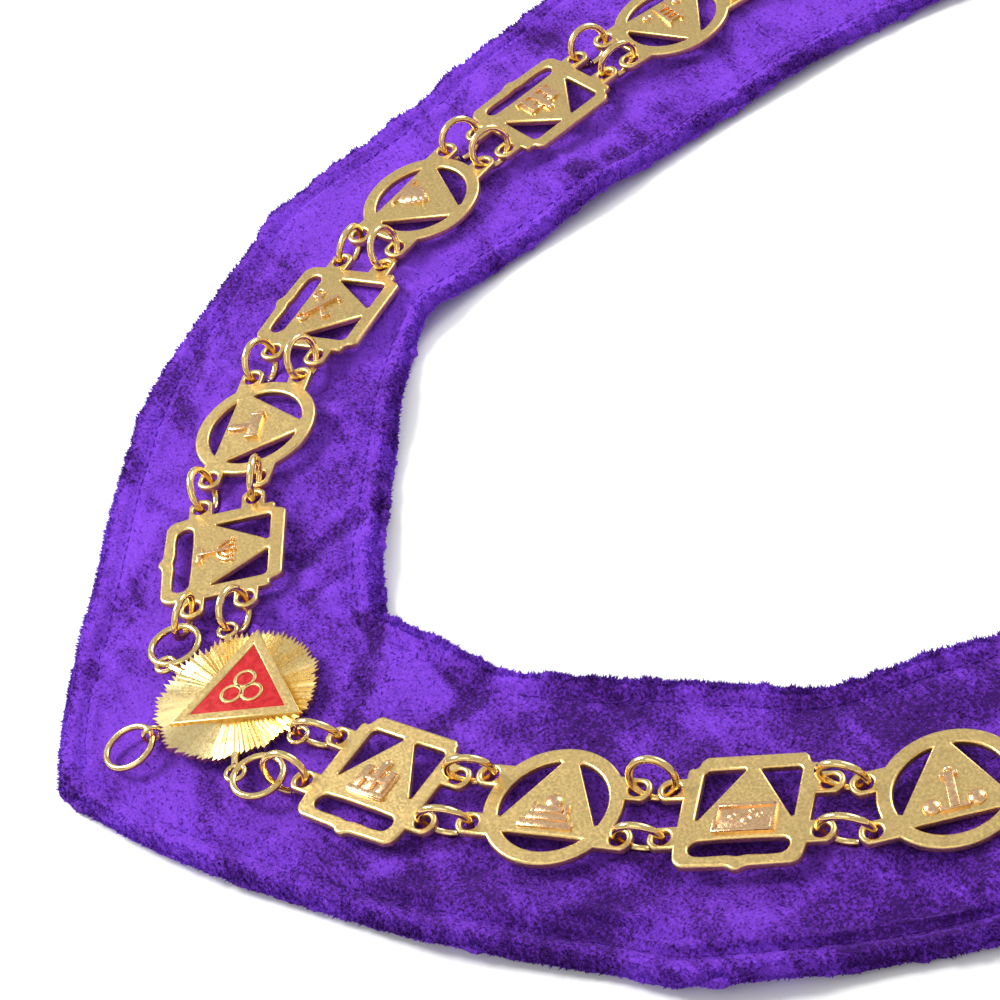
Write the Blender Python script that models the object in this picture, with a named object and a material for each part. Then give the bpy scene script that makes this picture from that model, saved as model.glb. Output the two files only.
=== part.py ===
"""Velvet collar with a chain of pierced plaques, laid flat.

Metres, +Z up. The collar lies on the XY plane with its point towards -Y and the back of the
neck towards +Y. The origin is the bottom centre of the whole object.
"""
import math

import bmesh
import bpy
from mathutils import Matrix, Vector

# Driving dimensions of the velvet band
NECK_WIDTH = 0.226
NECK_LENGTH = 0.316
BAND_WIDTH = 0.085
CLOTH_THICK = 0.0055
EDGE_ROUND = 0.0011
STITCH_INSET = 0.0072
STITCH_DEPTH = 0.0011
BED_DEPTH = 0.0032
BED_HALF_LENGTH = 0.004
BED_BY_CENTRE = 0.0242
REST_HALF_WIDTH = 0.014
EDGE_BULGE = 0.45

# Driving dimensions of the chain
PLAQUE_RADIUS = 0.017
PLAQUE_THICK = 0.0016
PLAQUES_PER_SIDE = 11
CENTRE_STEP = 0.0544
CENTRE_ASIDE = 0.0073
LUG_REACH = 0.0186
LUG_ACROSS = 0.0072
LUG_RADIUS = 0.0034
LUG_SHOULDER = 0.42
LUG_HOLE_RADIUS = 0.0023
RING_WIRE = 0.0016
HOOK_PLAY = 0.0018
RING_EASE_NECK = 1.01
RING_EASE_OUTER = 1.04
RING_LEAN = 12.0
LEAST_SPAN = 0.92
EMBLEM_HEIGHT = 0.0006

# Driving dimensions of the centrepiece and its ring
SUN_RADIUS = 0.0218
SUN_RAYS = 26
SUN_NOTCH = 0.0015
CENTRE_TURN = -5.0
FRAME_HALF_BASE = 0.0173
FRAME_BASE_UP = 0.0121
FRAME_APEX_DOWN = 0.0178
FRAME_BAR = 0.0029
FRAME_RISE = 0.0010
ORNAMENT_LOBE = 0.0030
LOBE_OUT = 0.0031
ENAMEL_THICK = 0.0006
JEWEL_RING_RADIUS = 0.0064
JEWEL_RING_WIRE = 0.0017
JEWEL_ASIDE = -0.06
BAIL_RADIUS = 0.0021
BAIL_WIRE = 0.0012
BAIL_OUT = 0.001

CLEARANCE = 0.0003
SINK = 0.0004

RING_SIDES = 10
WIRE_SIDES = 5
HOLE_SIDES = 6
LOBE_SIDES = 8
STEPS_PER_ROW = 24

# The band, one row for each section, from the point round the right arm, the back and the left arm.
# Columns: neck edge x (share of half NECK_WIDTH), neck edge y (share of NECK_LENGTH),
# direction to the outer edge (degrees), width (share of BAND_WIDTH), chain place across the band.
BAND_ROWS = (
    (-0.045, 0.000, -92.0, 1.074, 0.480),
    (0.268, 0.039, -62.8, 0.928, 0.560),
    (0.451, 0.081, -50.6, 0.944, 0.530),
    (0.618, 0.147, -41.3, 1.010, 0.530),
    (0.707, 0.172, -34.2, 1.046, 0.490),
    (0.832, 0.218, -20.0, 1.008, 0.500),
    (0.917, 0.280, -16.0, 1.020, 0.530),
    (0.994, 0.360, -10.3, 1.000, 0.520),
    (1.030, 0.516, -3.0, 1.030, 0.500),
    (1.015, 0.677, 6.0, 1.040, 0.500),
    (0.870, 0.835, 32.0, 1.030, 0.500),
    (0.500, 0.953, 61.0, 1.000, 0.500),
    (0.000, 1.000, 90.0, 0.980, 0.500),
    (-0.500, 0.953, 119.0, 1.000, 0.500),
    (-0.870, 0.835, 148.0, 1.040, 0.500),
    (-0.992, 0.690, 175.0, 1.080, 0.480),
    (-0.992, 0.516, 181.0, 1.090, 0.470),
    (-0.943, 0.337, 181.9, 0.974, 0.490),
    (-0.895, 0.220, 188.7, 0.930, 0.420),
    (-0.812, 0.162, 203.0, 0.867, 0.390),
    (-0.511, 0.090, 232.7, 0.925, 0.505),
    (-0.210, 0.027, 242.1, 0.940, 0.520),
    (-0.045, 0.000, 268.0, 1.074, 0.480),
)

# Soft folds, one row each. Columns: place along the band (share of the loop), spread (share of the
# loop), lift of the neck edge and lift of the outer edge (shares of CLOTH_THICK).
FOLD_ROWS = (
    (0.035, 0.014, 0.30, 0.15),
    (0.085, 0.015, 0.45, 0.30),
    (0.135, 0.013, 0.25, 0.50),
    (0.190, 0.016, 0.55, 0.20),
    (0.260, 0.020, 0.25, 0.45),
    (0.340, 0.020, 0.45, 0.20),
    (0.430, 0.022, 0.30, 0.40),
    (0.510, 0.020, 0.45, 0.25),
    (0.590, 0.022, 0.25, 0.45),
    (0.670, 0.018, 0.50, 0.20),
    (0.740, 0.016, 0.20, 0.45),
    (0.800, 0.014, 0.45, 0.30),
    (0.858, 0.012, 0.60, 0.20),
    (0.905, 0.013, 0.35, 0.45),
    (0.960, 0.014, 0.35, 0.20),
)

# How each plaque lies on the cloth: tip along the chain and tip across it, in degrees.
# The rows repeat along the chain.
LIE_ROWS = (
    (0.8, -1.6),
    (-1.2, 0.9),
    (1.5, 1.2),
    (-0.7, -1.0),
    (1.1, 1.8),
)

# Eyelets of the centrepiece by rail. Columns: reach (share of SUN_RADIUS), turn from the chain's line.
EYELETS = {
    1: (1.117, 17.0),
    -1: (1.188, -24.0),
}

# Outline of an eyelet's tab round its hole, pointing outward, as shares of LUG_RADIUS.
EYELET_TAB = ((-1.7, -1.0), (0.42, -1.0), (1.0, 0.0), (0.42, 1.0), (-1.7, 1.0))

# Cast emblems, each one bar or more. Columns: x, y, length and breadth (shares of PLAQUE_RADIUS), turn.
EMBLEMS = (
    ((0.0, -0.16, 0.60, 0.12, 90),),
    ((0.0, -0.16, 0.42, 0.36, 0),),
    ((0.0, -0.22, 0.64, 0.30, 0),),
    ((0.0, -0.10, 0.54, 0.18, 90),),
    ((0.0, -0.16, 0.58, 0.12, 35),),
    ((0.0, 0.02, 0.44, 0.16, 0),),
)

# Pierced openings on the +X half of a plaque and its slot, as shares of PLAQUE_RADIUS.
SQUARE_HALF = ((0.00, -1.03), (0.13, -0.96), (0.70, -0.92), (0.90, -0.72))
SQUARE_SIDE = 0.92
SQUARE_TOP = ((0.92, 0.74), (0.76, 0.84), (0.67, 0.97))
SQUARE_WINDOW = ((0.10, 0.73), (0.62, 0.73), (0.67, 0.66), (0.65, -0.20))
SQUARE_SLOT = ((0.00, -0.78), (0.60, -0.72), (0.62, -0.48))
ROUND_WINDOW_SIDES = 3
ROUND_CORNERS = (54.0, 72.0)
ROUND_RIM = 0.77
ROUND_APEX = 0.12
ROUND_BASE_DROP = 0.30
ROUND_LENS_TOP = 0.50

CHAIN_ITEMS = 2 * PLAQUES_PER_SIDE + 2

PARTS = "chain_collar"


def clear_scene():
    """Remove everything, so that the script can be run again."""
    for old in list(bpy.data.objects):
        bpy.data.objects.remove(old, do_unlink=True)
    collection = bpy.data.collections.get(PARTS)
    if collection:
        bpy.data.collections.remove(collection)


def new_collection(name):
    collection = bpy.data.collections.new(name)
    bpy.context.scene.collection.children.link(collection)
    return collection


def material(name, colour, roughness, metallic):
    """A Principled material with one colour."""
    made = bpy.data.materials.new(name)
    made.use_nodes = True
    shader = made.node_tree.nodes["Principled BSDF"]
    shader.inputs["Base Color"].default_value = (*colour, 1.0)
    shader.inputs["Roughness"].default_value = roughness
    shader.inputs["Metallic"].default_value = metallic
    made.diffuse_color = (*colour, 1.0)
    return made


def finish(obj, parts, finish_material):
    """Put an object in the parts collection with its material and smooth round faces."""
    for collection in list(obj.users_collection):
        collection.objects.unlink(obj)
    parts.objects.link(obj)
    obj.data.materials.clear()
    obj.data.materials.append(finish_material)
    obj.data.shade_smooth()
    obj.data.set_sharp_from_angle(angle=math.radians(35.0))
    return obj


def catmull(rows, at):
    """A smooth row between the rows of a table; at runs from 0 to len(rows) - 1."""
    last = len(rows) - 1
    low = min(int(at), last - 1)
    share = at - low
    before = rows[low - 1] if low > 0 else rows[low]
    after = rows[low + 2] if low + 2 <= last else rows[low + 1]
    values = []
    for p0, p1, p2, p3 in zip(before, rows[low], rows[low + 1], after):
        slope_in = (p2 - p0) / 2.0
        slope_out = (p3 - p1) / 2.0
        rise = p2 - p1
        values.append(
            p1 + slope_in * share
            + (3.0 * rise - 2.0 * slope_in - slope_out) * share ** 2
            + (slope_in + slope_out - 2.0 * rise) * share ** 3
        )
    return values


def section(at):
    """Neck edge, outer edge and chain place of the band at a row number, as 2D vectors."""
    neck_x, neck_y, outward, width, chain = catmull(BAND_ROWS, at)
    neck = Vector((neck_x * NECK_WIDTH / 2.0, neck_y * NECK_LENGTH))
    angle = math.radians(outward)
    across = Vector((math.cos(angle), math.sin(angle))) * width * BAND_WIDTH
    return neck, neck + across, neck + across * chain


def along_route():
    """Row numbers and running lengths of the chain's route round the band."""
    steps = (len(BAND_ROWS) - 1) * STEPS_PER_ROW
    places = [i / STEPS_PER_ROW for i in range(steps + 1)]
    lengths = [0.0]
    for before, after in zip(places, places[1:]):
        lengths.append(lengths[-1] + (section(after)[2] - section(before)[2]).length)
    return places, lengths


def place_at(places, lengths, length):
    """The row number at a running length of the route, which may run past its end."""
    length %= lengths[-1]
    for i in range(1, len(lengths)):
        if lengths[i] >= length:
            share = (length - lengths[i - 1]) / (lengths[i] - lengths[i - 1])
            return places[i - 1] + share * (places[i] - places[i - 1])
    return places[-1]


def chain_stops(lengths):
    """Running lengths of the centrepiece and of the plaques, back to the centrepiece."""
    pitch = (lengths[-1] - 2.0 * CENTRE_STEP) / (CHAIN_ITEMS - 2)
    stops = [CENTRE_ASIDE]
    for item in range(CHAIN_ITEMS - 1):
        stops.append(CENTRE_ASIDE + CENTRE_STEP + item * pitch)
    stops.append(CENTRE_ASIDE + lengths[-1])
    return stops


def middle_shift():
    """The shift that brings the centre of the band's box to the origin."""
    steps = (len(BAND_ROWS) - 1) * STEPS_PER_ROW
    edges = [section(i / STEPS_PER_ROW)[1] for i in range(steps + 1)]
    xs = [p.x for p in edges]
    ys = [p.y for p in edges]
    return Vector((-(min(xs) + max(xs)) / 2.0, -(min(ys) + max(ys)) / 2.0))


def edge_lifts(loop_share):
    """Lift of the neck edge and of the outer edge by the folds."""
    neck = 0.0
    outer = 0.0
    for along, spread, neck_lift, outer_lift in FOLD_ROWS:
        hump = math.exp(-((loop_share - along) / spread) ** 2)
        neck += neck_lift * hump
        outer += outer_lift * hump
    return neck * CLOTH_THICK, outer * CLOTH_THICK


def cross_section(at, loop_share, bed):
    """Closed outline of the cloth at one place: (share across, height), anticlockwise from below."""
    neck, outer, middle = section(at)
    width = (outer - neck).length
    chain = (middle - neck).length / width
    inset = STITCH_INSET / width
    round_off = EDGE_ROUND / width
    rail = LUG_ACROSS / width
    rest = REST_HALF_WIDTH / width
    neck_lift, outer_lift = edge_lifts(loop_share)
    rest_in = chain - rest
    rest_out = chain + rest
    edge = CLOTH_THICK - STITCH_DEPTH
    bed_height = CLOTH_THICK - BED_DEPTH * bed

    def lift(share):
        if share < rest_in:
            return neck_lift * (1.0 - share / rest_in)
        if share > rest_out:
            return outer_lift * (share - rest_out) / (1.0 - rest_out)
        return 0.0

    flat = (
        (round_off, 0.0), (rest_in, 0.0), (rest_out, 0.0), (1.0 - round_off, 0.0),
        (1.0, edge * EDGE_BULGE), (1.0 - round_off, edge), (1.0 - inset, edge - STITCH_DEPTH),
        (1.0 - 2.0 * inset, CLOTH_THICK),
        (chain + rail, bed_height), (chain - rail, bed_height),
        (2.0 * inset, CLOTH_THICK), (inset, edge - STITCH_DEPTH), (round_off, edge),
        (0.0, edge * EDGE_BULGE),
    )
    return [neck + (outer - neck) * share for share, _ in flat], [z + lift(share) for share, z in flat]


def bed_middle(stops, item):
    """Running length at which the rings after an item press into the cloth."""
    if item == 0:
        return stops[1] - BED_BY_CENTRE
    if item == CHAIN_ITEMS - 1:
        return stops[item] + BED_BY_CENTRE
    return (stops[item] + stops[item + 1]) / 2.0


def build_velvet(places, lengths, stops, shift):
    """The padded velvet band: one closed loft round the neck."""
    stations = [(0.0, 0.0)]
    for item in range(CHAIN_ITEMS):
        middle = bed_middle(stops, item)
        stations.append((stops[item], 0.0))
        stations.append((middle - BED_HALF_LENGTH, 1.0))
        stations.append((middle + BED_HALF_LENGTH, 1.0))
    mesh = bmesh.new()
    rings = []
    for length, bed in stations:
        points, heights = cross_section(place_at(places, lengths, length), length / lengths[-1], bed)
        rings.append([mesh.verts.new((p.x + shift.x, p.y + shift.y, z)) for p, z in zip(points, heights)])
    for ring, after in zip(rings, rings[1:] + rings[:1]):
        count = len(ring)
        for i in range(count):
            j = (i + 1) % count
            mesh.faces.new((ring[i], ring[j], after[j], after[i]))
    bmesh.ops.recalc_face_normals(mesh, faces=mesh.faces)
    data = bpy.data.meshes.new("velvet_collar")
    mesh.to_mesh(data)
    mesh.free()
    obj = bpy.data.objects.new("velvet_collar", data)
    bpy.context.scene.collection.objects.link(obj)
    return obj


def plate(name, outline, holes, thickness):
    """A flat pierced plate, centred on its own XY plane."""
    curve = bpy.data.curves.new(name, "CURVE")
    curve.dimensions = "2D"
    curve.fill_mode = "BOTH"
    curve.extrude = thickness / 2.0
    for loop in (outline, *holes):
        spline = curve.splines.new("POLY")
        spline.points.add(len(loop) - 1)
        for point, (x, y) in zip(spline.points, loop):
            point.co = (x, y, 0.0, 1.0)
        spline.use_cyclic_u = True
    flat = bpy.data.objects.new(name, curve)
    bpy.context.scene.collection.objects.link(flat)
    evaluated = flat.evaluated_get(bpy.context.evaluated_depsgraph_get())
    data = bpy.data.meshes.new_from_object(evaluated)
    bpy.data.objects.remove(flat, do_unlink=True)
    bpy.data.curves.remove(curve)
    welded = bmesh.new()
    welded.from_mesh(data)
    bmesh.ops.remove_doubles(welded, verts=welded.verts, dist=1e-6)
    bmesh.ops.recalc_face_normals(welded, faces=welded.faces)
    welded.to_mesh(data)
    welded.free()
    obj = bpy.data.objects.new(name, data)
    bpy.context.scene.collection.objects.link(obj)
    return obj


def combine(obj, others, operation="UNION"):
    """Join other bodies to an object, or cut them from it, and remove them."""
    for other in others:
        step = obj.modifiers.new("combine", "BOOLEAN")
        step.operation = operation
        step.solver = "EXACT"
        step.object = other
        bpy.context.view_layer.update()
        evaluated = obj.evaluated_get(bpy.context.evaluated_depsgraph_get())
        data = bpy.data.meshes.new_from_object(evaluated)
        obj.modifiers.remove(step)
        old = obj.data
        obj.data = data
        bpy.data.meshes.remove(old)
        bpy.data.objects.remove(other, do_unlink=True)
    return obj


def ring_body(centre, along, up, radius, wire):
    """A wire ring whose plane holds the directions along and up.

    Its sides, and not its corners, stand along, so that they cross a lug straight.
    """
    half_side = math.pi / RING_SIDES
    bpy.ops.mesh.primitive_torus_add(
        major_segments=RING_SIDES, minor_segments=WIRE_SIDES,
        major_radius=radius / math.cos(half_side / 2.0), minor_radius=wire / 2.0,
    )
    made = bpy.context.object
    normal = along.cross(up).normalized()
    turn = Matrix((along, up, normal)).transposed().to_4x4()
    made.matrix_world = Matrix.Translation(centre) @ turn @ Matrix.Rotation(half_side, 4, "Z")
    return made


def ring_rise(start, end, radius):
    """How far a ring's centre stands above the two lug holes; a slack ring is drawn out a little."""
    half = max((end - start).length / 2.0, radius * LEAST_SPAN)
    return math.sqrt(max(radius ** 2 - half ** 2, 0.0))


def spanning_ring(start, end, radius, lean):
    """A ring standing on edge through two points, leaning to one side."""
    along = (end - start).normalized()
    side = along.cross(Vector((0.0, 0.0, 1.0))).normalized()
    upright = side.cross(along).normalized()
    up = (upright * math.cos(lean) + side * math.sin(lean)).normalized()
    centre = (start + end) / 2.0 + up * ring_rise(start, end, radius)
    return ring_body(centre, along, up, radius, RING_WIRE)


def circle_points(centre, radius, sides):
    turn = 2.0 * math.pi / sides
    return [
        (centre[0] + radius * math.cos(i * turn), centre[1] + radius * math.sin(i * turn))
        for i in range(sides)
    ]


def lug_hole(centre):
    """A lug's hole, whose flat sides stand at the hole's radius."""
    return circle_points(centre, LUG_HOLE_RADIUS / math.cos(math.pi / HOLE_SIDES), HOLE_SIDES)


def lug_points(side, across):
    """The outline of one lug on the +X side; side gives the plaque's edge at a height."""
    low = across - LUG_RADIUS
    high = across + LUG_RADIUS
    shoulder = LUG_REACH + LUG_RADIUS * LUG_SHOULDER
    tip = LUG_REACH + LUG_RADIUS
    return [(side(low), low), (shoulder, low), (tip, across), (shoulder, high), (side(high), high)]


def mirrored(half):
    """A closed outline from its +X half, listed from below to above."""
    other = [(-x, y) for x, y in reversed(half) if abs(x) > 1e-9]
    return half + other


def scaled(points):
    return [(x * PLAQUE_RADIUS, y * PLAQUE_RADIUS) for x, y in points]


def square_outline():
    def side(_):
        return SQUARE_SIDE * PLAQUE_RADIUS

    half = scaled(SQUARE_HALF)
    half += lug_points(side, -LUG_ACROSS)
    half += lug_points(side, LUG_ACROSS)
    half += scaled(SQUARE_TOP)
    return mirrored(half)


def square_windows():
    right = scaled(SQUARE_WINDOW)
    left = [(-x, y) for x, y in right]
    return [right, left, mirrored(scaled(SQUARE_SLOT))]


def round_outline():
    def side(height):
        return math.sqrt(PLAQUE_RADIUS ** 2 - height ** 2)

    corners = [(math.cos(math.radians(a)), math.sin(math.radians(a))) for a in ROUND_CORNERS]
    half = [(0.0, -PLAQUE_RADIUS)]
    half += scaled([(x, -y) for x, y in reversed(corners)])
    half += lug_points(side, -LUG_ACROSS)
    half += [(PLAQUE_RADIUS, 0.0)]
    half += lug_points(side, LUG_ACROSS)
    half += scaled(corners)
    half += [(0.0, PLAQUE_RADIUS)]
    return mirrored(half)


def round_windows():
    """Two side openings between the triangle and the rim, and a lens below the triangle."""
    top = math.acos(ROUND_APEX / ROUND_RIM)
    bottom = -math.asin(ROUND_BASE_DROP / ROUND_RIM)
    right = []
    for i in range(ROUND_WINDOW_SIDES + 1):
        angle = bottom + (top - bottom) * i / ROUND_WINDOW_SIDES
        right.append((ROUND_RIM * math.cos(angle), ROUND_RIM * math.sin(angle)))
    left = [(-x, y) for x, y in right]
    start = math.asin(ROUND_LENS_TOP / ROUND_RIM)
    lens = []
    for i in range(ROUND_WINDOW_SIDES + 1):
        angle = start + (math.pi - 2.0 * start) * i / ROUND_WINDOW_SIDES
        lens.append((ROUND_RIM * math.cos(angle), -ROUND_RIM * math.sin(angle)))
    return [scaled(right), scaled(left), scaled(lens)]


def emblem_bodies(frame, bars):
    """The raised bars of one emblem, a little apart in height where they cross."""
    made = []
    for number, (x, y, length, breadth, turn) in enumerate(bars):
        bpy.ops.mesh.primitive_cube_add(size=1.0)
        bar = bpy.context.object
        height = EMBLEM_HEIGHT + SINK + number * SINK / 4.0
        middle = Vector((x * PLAQUE_RADIUS, y * PLAQUE_RADIUS, PLAQUE_THICK / 2.0 - SINK + height / 2.0))
        size = Matrix.Diagonal((length * PLAQUE_RADIUS, breadth * PLAQUE_RADIUS, height, 1.0))
        bar.matrix_world = (
            frame @ Matrix.Translation(middle) @ Matrix.Rotation(math.radians(turn), 4, "Z") @ size
        )
        made.append(bar)
    return made


def chain_frames(places, lengths, stops, shift, height):
    """World frame of the centrepiece and of each plaque: X along the chain, Y to the neck."""
    centres = []
    for stop in stops[:-1]:
        middle = section(place_at(places, lengths, stop))[2]
        centres.append(Vector((middle.x + shift.x, middle.y + shift.y, height)))
    frames = []
    for item, centre in enumerate(centres):
        chord = centres[(item + 1) % CHAIN_ITEMS] - centres[item - 1]
        heading = math.atan2(chord.y, chord.x)
        turn = Matrix.Rotation(heading, 4, "Z")
        if item > 0:
            along_tip, across_tip = LIE_ROWS[item % len(LIE_ROWS)]
            turn = (
                turn
                @ Matrix.Rotation(math.radians(along_tip), 4, "Y")
                @ Matrix.Rotation(math.radians(across_tip), 4, "X")
            )
        frames.append(Matrix.Translation(centre) @ turn)
    return frames


def field_frame(frame):
    """Frame of the centrepiece's triangle, which hangs a little aside."""
    return frame @ Matrix.Rotation(math.radians(CENTRE_TURN), 4, "Z")


def lug_point(frame, end, rail):
    """World place of a plaque's lug hole: end is -1 or 1 along the chain, rail 1 at the neck side."""
    return frame @ Vector((end * LUG_REACH, rail * LUG_ACROSS, 0.0))


def eyelet_local(end, rail):
    """Place of a centrepiece eyelet in its own frame."""
    share, turn = EYELETS[rail]
    reach = SUN_RADIUS * share
    angle = math.radians(turn)
    return Vector((end * reach * math.cos(angle), reach * math.sin(angle), 0.0))


def rail_ends(frames, item, rail):
    """The two lug holes that a ring joins between an item and the next one."""
    after = (item + 1) % CHAIN_ITEMS
    if item == 0:
        start = frames[0] @ eyelet_local(1, rail)
    else:
        start = lug_point(frames[item], 1, rail)
    if after == 0:
        end = frames[0] @ eyelet_local(-1, rail)
    else:
        end = lug_point(frames[after], -1, rail)
    return start, end


def ring_radii(frames):
    """Mean radius of the jump rings of each rail: they just span its widest gap."""
    radii = {}
    for rail, ease in ((-1, RING_EASE_OUTER), (1, RING_EASE_NECK)):
        spans = []
        for item in range(1, CHAIN_ITEMS - 1):
            start, end = rail_ends(frames, item, rail)
            spans.append((end - start).length)
        radii[rail] = max(spans) / 2.0 * ease
    return radii


def link_height(frames_flat):
    """Height of the chain's middle plane: the lowest ring just clears the pressed bed."""
    deepest = 0.0
    corner = 1.0 / math.cos(math.pi / RING_SIDES / 2.0)
    for rail, radius in ring_radii(frames_flat).items():
        for item in range(1, CHAIN_ITEMS - 1):
            start, end = rail_ends(frames_flat, item, rail)
            drop = (radius * corner - ring_rise(start, end, radius)) * math.cos(math.radians(RING_LEAN))
            deepest = max(deepest, drop - (start.z + end.z) / 2.0)
    return CLOTH_THICK - BED_DEPTH + CLEARANCE + deepest + RING_WIRE / 2.0


def outer_pair(start, end, radius):
    """Where the second ring at the centrepiece passes inside the first, which lies flat."""
    along = (end - start).normalized()
    inside = start + along * (2.0 * radius - RING_WIRE - HOOK_PLAY)
    return along, inside


def build_plaque(item, frames, radii):
    """One plaque with its emblem and the rings soldered to its leading lugs."""
    is_square = item % 2 == 1
    outline = square_outline() if is_square else round_outline()
    windows = square_windows() if is_square else round_windows()
    last = item == CHAIN_ITEMS - 1
    holes = []
    if not last:
        for rail in (-1, 1):
            holes.append(lug_hole((LUG_REACH, rail * LUG_ACROSS)))
    shape = "square" if is_square else "round"
    name = f"{shape}_plaque_{item:02d}"
    body = plate(name, outline, windows + holes, PLAQUE_THICK)
    body.matrix_world = frames[item]
    added = emblem_bodies(frames[item], EMBLEMS[item % len(EMBLEMS)])
    lean = math.radians(RING_LEAN)
    for rail in (-1, 1):
        start, end = rail_ends(frames, item - 1, rail)
        if item == 1 and rail < 0:
            start = outer_pair(start, end, radii[-1])[1]
        side_lean = lean if (item + rail) % 4 else -lean
        added.append(spanning_ring(start, end, radii[-1 if item == 1 else rail], side_lean))
        if last:
            start, end = rail_ends(frames, item, rail)
            if rail < 0:
                end = outer_pair(end, start, radii[-1])[1]
            added.append(spanning_ring(start, end, radii[-1], -side_lean))
    return combine(body, added)


def frame_triangle():
    """The raised frame's outer triangle, pointing to the collar's tip."""
    return [(0.0, -FRAME_APEX_DOWN), (FRAME_HALF_BASE, FRAME_BASE_UP), (-FRAME_HALF_BASE, FRAME_BASE_UP)]


def shrunk_triangle(points, bar):
    """The triangle inside another, at a distance from its sides."""
    centre = Vector((sum(x for x, _ in points) / 3.0, sum(y for _, y in points) / 3.0))
    corners = [Vector(p) for p in points]
    lines = []
    for a, b in zip(corners, corners[1:] + corners[:1]):
        normal = Vector((-(b - a).y, (b - a).x)).normalized()
        if normal.dot(centre - a) < 0.0:
            normal = -normal
        lines.append((a + normal * bar, b - a))
    inner = []
    for (p, d), (q, e) in zip(lines[-1:] + lines[:-1], lines):
        share = ((q.x - p.x) * e.y - (q.y - p.y) * e.x) / (d.x * e.y - d.y * e.x)
        inner.append(tuple(p + d * share))
    return inner


def ornament_lobes():
    """Centres of the three lobes of the trefoil, round the middle of the frame's inner circle."""
    height = FRAME_BASE_UP + FRAME_APEX_DOWN
    slope = math.hypot(FRAME_HALF_BASE, height)
    in_radius = FRAME_HALF_BASE * height / (FRAME_HALF_BASE + slope)
    middle = Vector((0.0, FRAME_BASE_UP - in_radius))
    return [
        (middle.x + LOBE_OUT * math.cos(math.radians(a)), middle.y + LOBE_OUT * math.sin(math.radians(a)))
        for a in (-90.0, 30.0, 150.0)
    ]


def build_centrepiece(frames, radius):
    """Sunburst with a raised triangular frame, a trefoil, four eyelets and the jewel ring's bail."""
    frame = frames[0]
    field = field_frame(frame)
    outline = []
    for ray in range(SUN_RAYS):
        tip = 2.0 * math.pi * ray / SUN_RAYS
        gap = 2.0 * math.pi * (ray + 0.5) / SUN_RAYS
        outline.append((SUN_RADIUS * math.cos(tip), SUN_RADIUS * math.sin(tip)))
        notch = SUN_RADIUS - SUN_NOTCH
        outline.append((notch * math.cos(gap), notch * math.sin(gap)))
    body = plate("centrepiece", outline, [], PLAQUE_THICK)
    body.matrix_world = frame
    added = []
    top = PLAQUE_THICK / 2.0
    outer = frame_triangle()
    rim = plate("rim", outer, [shrunk_triangle(outer, FRAME_BAR)], FRAME_RISE + SINK)
    rim.matrix_world = field @ Matrix.Translation((0.0, 0.0, top + (FRAME_RISE - SINK) / 2.0))
    added.append(rim)
    for lobe in ornament_lobes():
        disc = plate("lobe", circle_points(lobe, ORNAMENT_LOBE, LOBE_SIDES), [], FRAME_RISE + SINK)
        disc.matrix_world = field @ Matrix.Translation((0.0, 0.0, top + (FRAME_RISE - SINK) / 2.0))
        added.append(disc)
    for end in (-1, 1):
        for rail in (-1, 1):
            place = eyelet_local(end, rail)
            angle = math.atan2(place.y, place.x)
            tab = []
            for x, y in EYELET_TAB:
                local = Matrix.Rotation(angle, 2) @ Vector((x * LUG_RADIUS, y * LUG_RADIUS))
                tab.append((place.x + local.x, place.y + local.y))
            holes = []
            if rail > 0:
                holes.append(lug_hole(place.to_2d()))
            eyelet = plate("eyelet", tab, holes, PLAQUE_THICK - SINK)
            eyelet.matrix_world = frame
            added.append(eyelet)
        start, finish_point = rail_ends(frames, 0, -1) if end > 0 else rail_ends(frames, CHAIN_ITEMS - 1, -1)
        if end < 0:
            start, finish_point = finish_point, start
        along = outer_pair(start, finish_point, radius)[0]
        side = Vector((0.0, 0.0, 1.0)).cross(along).normalized()
        added.append(ring_body(start + along * radius, along, side, radius, RING_WIRE))
    bail_centre, ring_centre, ring_along, ring_side = jewel_places(field)
    outward = (field.to_3x3() @ Vector((0.0, -1.0, 0.0))).normalized()
    added.append(ring_body(bail_centre, outward, Vector((0.0, 0.0, 1.0)), BAIL_RADIUS, BAIL_WIRE))
    return combine(body, added)


def jewel_places(frame):
    """Centre of the bail and of the jewel ring, and the two directions of the ring's plane."""
    down = (frame.to_3x3() @ Vector((JEWEL_ASIDE, -1.0, 0.0))).normalized()
    bail = frame.translation + down * (SUN_RADIUS + BAIL_OUT)
    bail.z = CLOTH_THICK + CLEARANCE + BAIL_RADIUS + BAIL_WIRE / 2.0
    far_height = CLOTH_THICK + CLEARANCE + JEWEL_RING_WIRE / 2.0
    drop = (bail.z - far_height) / (2.0 * JEWEL_RING_RADIUS)
    along = Vector((down.x, down.y, -drop)).normalized()
    side = along.cross(Vector((0.0, 0.0, 1.0))).normalized()
    return bail, bail + along * JEWEL_RING_RADIUS, along, side


def build_enamel(frame):
    """The red enamel inside the triangular frame, round the trefoil."""
    inner = shrunk_triangle(frame_triangle(), FRAME_BAR + CLEARANCE)
    body = plate("red_enamel", inner, [], ENAMEL_THICK)
    base = PLAQUE_THICK / 2.0 + CLEARANCE + ENAMEL_THICK / 2.0
    body.matrix_world = frame @ Matrix.Translation((0.0, 0.0, base))
    cutters = []
    for lobe in ornament_lobes():
        around = circle_points(lobe, ORNAMENT_LOBE + CLEARANCE, LOBE_SIDES)
        cutter = plate("lobe_cutter", around, [], FRAME_RISE * 4.0)
        cutter.matrix_world = body.matrix_world
        cutters.append(cutter)
    return combine(body, cutters, "DIFFERENCE")


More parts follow.
